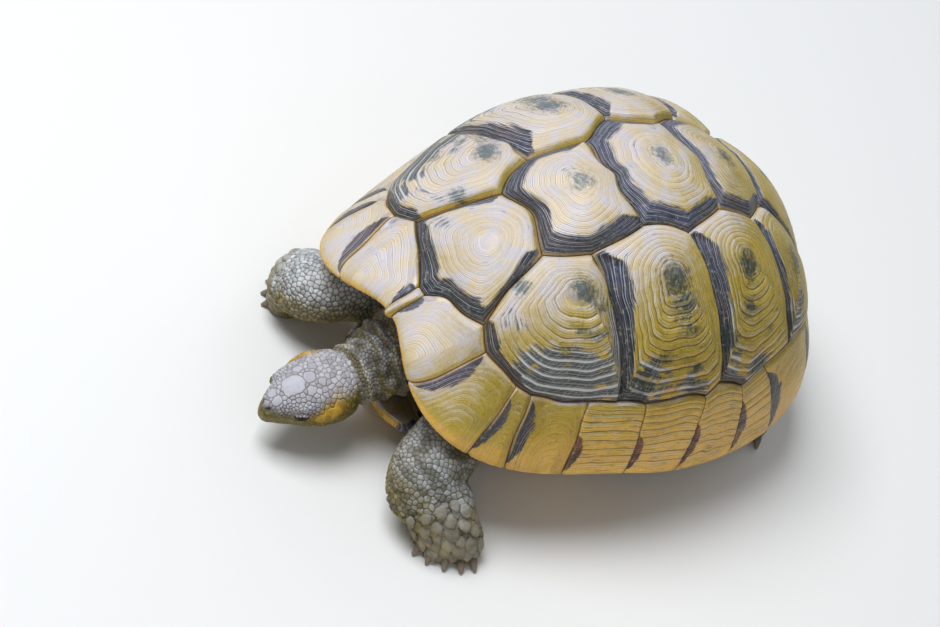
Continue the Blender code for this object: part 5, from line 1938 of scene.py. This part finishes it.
def horn_finish():
    """Scute horn: straw on top with a painted lilac sky sheen, ochre on the sides, slate bands, and lines of
    growth that are partly worn and partly painted shade and highlights.
    """
    material, shader, n = new_material("shell_horn")
    place = n.place()
    growth = n.maths("MAXIMUM", n.field("growth"), 0.0)
    on_rings = n.span(n.field("growth"), 0.0, 0.4)
    around = n.field("around")
    inward = n.field("inward")
    lines = n.field("lines")
    up = n.up()
    broad = n.noise(place, 38.0, 4.0)
    mottle = n.use(MOTTLE, Scale=160.0, Low=0.4, High=0.62)
    cloudy = mottle["Noise"]

    def ring_line(times, low, high):
        part = n.maths("FRACT", n.times(growth, times))
        return n.span(n.maths("ABSOLUTE", n.minus(part, 0.5)), low, high)

    # Each ring's groove is darkened: painted shade, partly a dark growth line
    groove = n.times(ring_line(1.0, 0.38, 0.5), on_rings)
    # The pale line near the outer edge of each ring's ridge is a painted highlight, partly paler worn horn
    part = n.maths("FRACT", growth)
    crest = n.times(n.span(part, 0.54, 0.7), n.span(part, 0.93, 0.82))
    crest = n.times(crest, on_rings)
    fine_line = ring_line(4.0, 0.26, 0.5)
    finest_line = ring_line(9.0, 0.22, 0.5)
    along_ring = n.both(n.times(around, 0.14), n.times(growth, 2.3))
    streaks = n.noise(along_ring, 1.0, 4.0, 0.62)
    across_ring = n.both(n.times(around, 1.5), n.times(growth, 0.5))
    scratches = n.noise(across_ring, 1.0, 3.0, 0.6)

    flank = n.blend(n.span(broad, 0.3, 0.7), *HORN["flank"])
    low = n.blend(n.span(broad, 0.3, 0.7), *HORN["low"])
    # Painted light: horn that faces the key light takes the paler top colour, and its lilac share and
    # lilac-grey lines are a painted sky sheen
    lilac_sheen = n.plus(n.times(mottle["Mask"], 0.55), n.span(streaks, 0.4, 0.62, 0.0, 0.25))
    top = n.blend(lilac_sheen, *HORN["top"])
    uneven = n.stray(cloudy, 0.3)
    facing = n.plus(n.toward(-0.26, -0.4, 0.88), uneven)
    facing_key_light = n.span(facing, 0.52, 0.95)
    light = n.blend(n.span(up, 0.55, 0.2), flank, low)
    light = n.lay(light, top, facing_key_light)
    line_colour = n.blend(facing_key_light, *HORN["line"])
    streaky = n.times(n.span(streaks, 0.5, 0.64), n.span(facing_key_light, 0.0, 1.0, 0.34, 0.1))
    light = n.lay(light, line_colour, streaky, lines)
    thrice = n.times(ring_line(3.0, 0.3, 0.5), on_rings)
    light = n.lay(light, line_colour, thrice, n.times(facing_key_light, 0.42))
    light = n.lay(light, line_colour, groove, n.times(lines, 0.62))
    pale_crest = n.times(crest, n.span(cloudy, 0.38, 0.62, 0.03, 0.36))
    light = n.lay(light, HORN["crest"], pale_crest, lines)
    fine_share = n.times(fine_line, n.span(cloudy, 0.35, 0.65, 0.12, 0.46))
    light = n.lay(light, line_colour, fine_share, lines)
    light = n.lay(light, line_colour, finest_line, 0.12)
    light = n.lay(light, HORN["scratch"], n.span(scratches, 0.55, 0.75, 0.0, 0.2))
    smoke = n.plus(n.field("smoky"), n.stray(streaks, 1.7))
    smoke = n.plus(smoke, n.stray(cloudy, 1.8))
    smoke = n.span(smoke, 0.3, 0.72)
    smoke_colour = n.blend(n.span(scratches, 0.45, 0.65), *HORN["smoke"])
    smoke_colour = n.lay(smoke_colour, HORN["smoke_line"], fine_line, 0.5)
    smoke_colour = n.lay(smoke_colour, HORN["smoke_crest"], crest, 0.82)
    light = n.lay(light, smoke_colour, smoke, 0.94)

    # Painted sheen: the slate bands turn bluer and lighter where they face up
    slate = n.blend(n.span(up, 0.45, 0.95), *HORN["slate"])
    slate = n.lay(slate, HORN["slate_green"], n.span(cloudy, 0.44, 0.62, 0.0, 0.75))
    slate = n.lay(slate, HORN["slate_brown"], n.span(broad, 0.5, 0.66, 0.0, 0.5))
    slate = n.lay(slate, HORN["slate_streak"], n.span(streaks, 0.5, 0.6, 0.0, 0.55))
    slate = n.lay(slate, HORN["slate_scratch"], n.span(scratches, 0.52, 0.7, 0.0, 0.26))
    # The pale lines in the slate bands are partly worn horn and partly painted highlight, with a painted blue
    # sheen where they face the key light
    band_line = ring_line(3.0, 0.2, 0.42)
    worn = n.times(band_line, n.span(streaks, 0.36, 0.58, 0.1, 0.75))
    slate = n.lay(slate, n.blend(facing_key_light, *HORN["worn"]), worn)
    slate = n.lay(slate, HORN["slate_groove"], groove, 0.8)
    rusty = n.blend(n.span(cloudy, 0.4, 0.6), *HORN["rust"])
    slate = n.lay(slate, rusty, n.field("rust"))

    spread = n.stray(streaks, 1.0)
    spread = n.plus(spread, n.stray(cloudy, 0.5))
    spread = n.plus(spread, n.times(n.minus(fine_line, 0.4), 0.3))
    patch = n.span(n.plus(n.field("dark"), spread), 0.3, 0.7)
    colour = n.blend(patch, light, slate)
    speckled = n.use(MOTTLE, Scale=620.0, Detail=5.0, Roughness=0.7)["Noise"]
    speckled = n.stray(speckled, 1.5)
    speckled = n.plus(speckled, n.stray(streaks, 0.9))
    blotch = n.span(n.plus(n.field("blotch"), speckled), 0.24, 0.78, 0.0, 0.92)
    blotch = n.times(blotch, n.span(crest, 0.0, 1.0, 1.0, 0.55))
    # Painted sheen: the blotches turn bluer where they face the key light
    blotch_colour = n.blend(facing_key_light, *HORN["blotch"])
    blotch_colour = n.lay(blotch_colour, HORN["blotch_scratch"], n.span(scratches, 0.48, 0.66, 0.0, 0.6))
    colour = n.lay(colour, blotch_colour, blotch)
    amber_band = n.times(n.span(inward, 1.0, 0.6), n.span(broad, 0.42, 0.58))
    colour = n.lay(colour, HORN["amber_edge"], amber_band, 0.6)
    seam = n.span(inward, 0.4, 0.05)
    colour = n.lay(colour, HORN["seam"], seam, 0.72)
    pits = n.use(MOTTLE, Scale=1150.0, Detail=5.0, Roughness=0.72, Low=0.52, High=0.66)["Mask"]
    pits = n.times(pits, n.span(facing_key_light, 0.0, 1.0, 0.5, 0.14))
    pits = n.times(pits, n.span(broad, 0.38, 0.62, 0.3, 1.0))
    colour = n.lay(colour, HORN["pit"], pits)
    chips = n.use(MOTTLE, Scale=760.0, Detail=5.0, Roughness=0.72, Low=0.55, High=0.68)["Mask"]
    colour = n.lay(colour, HORN["chip"], chips, n.span(broad, 0.6, 0.38, 0.12, 0.36))
    dusty = n.use(DUST, Color=colour, Dust_Color=HORN["dust"], Amount=0.14, Scale=1500.0)
    n.feed(shader.inputs["Base Color"], dusty["Color"])

    rough = n.plus(n.times(cloudy, 0.16), n.span(seam, 0.0, 1.0, 0.3, 0.5))
    n.feed(shader.inputs["Roughness"], rough)
    shader.inputs["Specular IOR Level"].default_value = DRY_SPECULAR
    fine = n.plus(n.times(fine_line, -1.0), n.times(streaks, 0.35))
    fine = n.plus(fine, n.times(dusty["Grain"], 0.3))
    n.feed(shader.inputs["Normal"], n.bump(fine, 0.75, 0.00014))
    return material


# Colours of the skin
SKIN = {
    "grey": (rgb(0.172, 0.178, 0.18), rgb(0.325, 0.345, 0.365)),
    "brown": (rgb(0.135, 0.11, 0.06), rgb(0.27, 0.225, 0.125)),
    "lit_grey": rgb(0.5, 0.5, 0.52),
    # ochre: skin facing down, partly its own colour and partly painted shade
    "ochre": (rgb(0.17, 0.13, 0.038), rgb(0.33, 0.25, 0.074)),
    "wrinkle": rgb(0.062, 0.056, 0.032),
    "raised": rgb(0.34, 0.3, 0.22),
    "crown": (rgb(0.31, 0.295, 0.325), rgb(0.47, 0.46, 0.505)),
    # olive: the lower sides of the head, partly their own colour and partly painted shade
    "olive": (rgb(0.08, 0.064, 0.007), rgb(0.22, 0.172, 0.02)),
    "mud": rgb(0.085, 0.082, 0.085),
    # foreleg: a painted highlight on the top of the right foreleg
    "foreleg": (rgb(0.38, 0.4, 0.43), rgb(0.62, 0.64, 0.67)),
    "amber": (rgb(0.54, 0.33, 0.026), rgb(0.34, 0.195, 0.016)),
    "beak": rgb(0.24, 0.2, 0.11),
    "collar": rgb(0.47, 0.45, 0.38),
    "dirt": rgb(0.1, 0.085, 0.055),
    "dust": rgb(0.46, 0.42, 0.34),
    # groove and head_groove: painted shade in the grooves between the scales
    "groove": rgb(0.048, 0.04, 0.016),
    "head_groove": rgb(0.13, 0.095, 0.03),
    # mouth: painted shade in the mouth's crease and the nostril pits
    "mouth": rgb(0.03, 0.022, 0.014),
    # slit: painted shade in the slit between the lids
    "slit": rgb(0.012, 0.01, 0.008),
}


def skin_finish(name="scaly_skin", raised=False):
    """Scaly skin: grey and brown scales, ochre low down and olive cheeks that are partly painted shade,
    painted shade in the grooves, and fine dust over all.
    """
    material, shader, n = new_material(name)
    place = n.place()
    up = n.up()
    tint = n.field("tint")
    broad = n.noise(place, 70.0, 4.0)
    mottle = n.use(MOTTLE, Scale=320.0, Roughness=0.6, Low=0.42, High=0.72)
    cloudy = mottle["Noise"]

    grey = n.blend(tint, *SKIN["grey"])
    brown = n.blend(tint, *SKIN["brown"])
    grey = n.lay(grey, brown, n.span(broad, 0.43, 0.62, 0.0, 0.85))
    grey = n.lay(grey, SKIN["lit_grey"], n.span(n.toward(-0.62, -0.1, 0.78), 0.4, 0.95, 0.0, 0.55))
    # Skin facing down turns ochre: partly its own colour, partly painted shade
    ochre = n.blend(tint, *SKIN["ochre"])
    facing = n.plus(up, n.stray(broad, 1.6))
    body = n.blend(n.span(facing, -0.18, 0.78), ochre, grey)
    across, along, high = n.add("SeparateXYZ", None, Vector=place).outputs
    level = n.both(across, along, n.times(high, 3.4))
    body = n.lay(body, SKIN["wrinkle"], n.span(n.noise(level, 120.0, 3.0), 0.46, 0.62, 0.0, 0.72))
    if raised:
        colour = n.blend(0.35, body, SKIN["raised"])
    else:
        head = n.field("head")
        crown = n.blend(tint, *SKIN["crown"])
        olive = n.blend(tint, *SKIN["olive"])
        # The lower sides of the head turn dark olive: partly their own colour, partly painted shade
        head_colour = n.blend(n.field("cheek"), crown, olive)
        mud = n.times(n.field("neck"), n.use(MOTTLE, Scale=150.0, Low=0.42, High=0.56)["Mask"])
        body = n.lay(body, SKIN["mud"], mud, 0.6)
        # Painted highlight: the upward faces of the right foreleg are laid over with a pale blue-grey
        pale = n.times(n.field("pale"), n.span(up, 0.0, 0.75, 0.0, 0.85))
        body = n.lay(body, n.blend(tint, *SKIN["foreleg"]), pale)
        colour = n.blend(head, body, head_colour)
        amber = n.blend(n.span(cloudy, 0.4, 0.62), *SKIN["amber"])
        colour = n.lay(colour, amber, n.field("temple"))
        colour = n.lay(colour, SKIN["beak"], n.field("beak"), 0.6)
        colour = n.lay(colour, SKIN["collar"], n.field("collar"), 0.6)
    dirt = n.times(mottle["Mask"], 0.5)
    if not raised:
        clean = n.minus(1.0, n.times(head, 0.7))
        dirt = n.times(dirt, clean)
    colour = n.lay(colour, SKIN["dirt"], dirt)
    dusty = n.use(DUST, Color=colour, Dust_Color=SKIN["dust"], Amount=0.25, Scale=2200.0)
    colour = dusty["Color"]
    if not raised:
        # Painted shade: the grooves between the scales are darkened
        inside = n.field("inside")
        groove = n.span(inside, n.span(head, 0.0, 1.0, 0.52, 0.34), 0.0)
        groove_colour = n.blend(head, SKIN["groove"], SKIN["head_groove"])
        colour = n.lay(colour, groove_colour, groove, 0.85)
        # Painted shade: the mouth's crease and the nostril pits are darkened
        colour = n.lay(colour, SKIN["mouth"], n.field("mouth"), 0.85)
        # Painted shade: the slit between the lids is darkened
        colour = n.lay(colour, SKIN["slit"], n.field("slit"))
    n.feed(shader.inputs["Base Color"], colour)
    n.feed(shader.inputs["Roughness"], n.span(cloudy, 0.3, 0.7, 0.5, 0.72))
    shader.inputs["Specular IOR Level"].default_value = DRY_SPECULAR
    fine = n.plus(n.times(cloudy, 0.7), n.times(dusty["Grain"], 0.35))
    n.feed(shader.inputs["Normal"], n.bump(fine, 0.6, 0.00022))
    return material


# Colours of the claws
CLAW = {
    "root": rgb(0.030, 0.025, 0.020),
    "tip": rgb(0.20, 0.155, 0.10),
    "worn": rgb(0.16, 0.13, 0.10),
    "dust": rgb(0.30, 0.25, 0.18),
}


def claw_finish():
    """Dark horn, greyer and worn toward the tip, with fine lines along it."""
    material, shader, n = new_material("claw_horn")
    tip = n.field("toward_tip")
    mottle = n.use(MOTTLE, Scale=500.0, Roughness=0.6, Low=0.45, High=0.7)
    colour = n.blend(n.span(tip, 0.1, 1.0), CLAW["root"], CLAW["tip"])
    colour = n.lay(colour, CLAW["worn"], mottle["Mask"], 0.4)
    dusty = n.use(DUST, Color=colour, Dust_Color=CLAW["dust"], Amount=0.3, Scale=2600.0)
    n.feed(shader.inputs["Base Color"], dusty["Color"])
    n.feed(shader.inputs["Roughness"], n.span(mottle["Noise"], 0.3, 0.7, 0.3, 0.5))
    n.feed(shader.inputs["Normal"], n.bump(n.plus(mottle["Noise"], dusty["Grain"]), 0.4, 0.00015))
    return material


# Colours of the eye
EYE = {
    "iris": (rgb(0.03, 0.018, 0.01), rgb(0.085, 0.048, 0.02)),
    "pupil": rgb(0.004, 0.004, 0.004),
    "rim": rgb(0.016, 0.012, 0.01),
}


def eye_finish():
    """A near-black pupil in a dark brown iris, wet and glossy."""
    material, shader, n = new_material("dark_eye")
    place = n.place()
    off = n.field("off_middle")
    flecks = n.noise(place, 2600.0, 3.0, 0.7)
    iris = n.blend(n.span(flecks, 0.35, 0.7), *EYE["iris"])
    colour = n.blend(n.span(off, 0.36, 0.42), EYE["pupil"], iris)
    colour = n.lay(colour, EYE["rim"], n.span(off, 0.8, 0.92))
    n.feed(shader.inputs["Base Color"], colour)
    shader.inputs["Roughness"].default_value = 0.3
    shader.inputs["Specular IOR Level"].default_value = 0.2
    shader.inputs["Coat Weight"].default_value = 0.12
    shader.inputs["Coat Roughness"].default_value = 0.04
    n.feed(shader.inputs["Normal"], n.bump(flecks, 0.08, 0.0001))
    return material


FLOOR_HALF = 3
FLOOR_COLOUR = rgb(0.72, 0.71, 0.69)
FLOOR_ROUGHNESS = 0.85


def stage_floor():
    mesh = bpy.data.meshes.new("floor")
    corners = [(x * FLOOR_HALF, y * FLOOR_HALF, 0) for x, y in ((-1, -1), (1, -1), (1, 1), (-1, 1))]
    mesh.from_pydata(corners, [], [(0, 1, 2, 3)])
    material, shader, _ = new_material("floor_paper")
    shader.inputs["Base Color"].default_value = FLOOR_COLOUR
    shader.inputs["Roughness"].default_value = FLOOR_ROUGHNESS
    mesh.materials.append(material)
    floor = into_scene("floor", mesh)


CAMERA_PLACE = Vector((0.35296, -0.51688, 0.62561))
CAMERA_FORWARD = Vector((-0.42313, 0.57569, -0.69967))
CAMERA_RIGHT = Vector((0.50922, 0.78981, 0.34190))
CAMERA_LENS = 94.4
SENSOR_WIDTH = 36.0


def stage_camera():
    data = bpy.data.cameras.new("camera")
    data.lens = CAMERA_LENS
    data.sensor_width = SENSOR_WIDTH
    data.clip_start = 0.01
    camera = into_scene("camera", data)
    forward = CAMERA_FORWARD.normalized()
    above = CAMERA_RIGHT.cross(forward).normalized()
    turn = Matrix((forward.cross(above), above, -forward)).transposed()
    camera.matrix_world = Matrix.Translation(CAMERA_PLACE) @ turn.to_4x4()
    bpy.context.scene.camera = camera


def soft_light(name, place, size, power, colour):
    data = bpy.data.lights.new(name, "AREA")
    data.size = size
    data.energy = power
    data.color = colour
    lamp = into_scene(name, data)
    lamp.location = place
    lamp.rotation_euler = (Vector(LIGHTS_AIM) - Vector(place)).to_track_quat("-Z", "Y").to_euler()


# Each soft light: its place, size in metres, power and colour
LIGHTS_AIM = (0, 0, 0.04)
LIGHTS = {
    "key_light": ((-0.40, -0.40, 1.20), 0.7, 20.0, (0.93, 0.965, 1.0)),
    "fill_light": ((0.9, -0.5, 0.7), 0.9, 2.0, (1.0, 0.96, 0.90)),
    "rim_light": ((-0.3, 1.0, 0.8), 0.8, 2.6, (0.95, 0.97, 1.0)),
}
ROOM_COLOUR = rgb(0.80, 0.86, 0.95)
ROOM_STRENGTH = 0.28


def stage_lights():
    for name, (place, size, power, colour) in LIGHTS.items():
        soft_light(name, place, size, power, colour)
    world = bpy.data.worlds.new("studio")
    world.use_nodes = True
    background = world.node_tree.nodes["Background"]
    background.inputs[0].default_value = ROOM_COLOUR
    background.inputs[1].default_value = ROOM_STRENGTH
    bpy.context.scene.world = world
    bpy.context.scene.view_settings.view_transform = "Standard"


stage_floor()
stage_camera()
stage_lights()
MOTTLE = mottle_group()
DUST = dust_group()
horn = horn_finish()
carapace(horn)
plastron(horn)
covering = skin(skin_finish())
surface = BVHTree.FromPolygons(
    [v.co for v in covering.data.vertices], [p.vertices for p in covering.data.polygons]
)
raised = skin_finish("raised_scale", raised=True)
for number, limb in enumerate(LIMBS):
    raised_scales(limb, number, surface, raised)
claw_horn = claw_finish()
claws(claw_horn)
spurs(surface, claw_horn)
eye_horn = eye_finish()
eye("eye_left", 1, eye_horn)
eye("eye_right", -1, eye_horn)
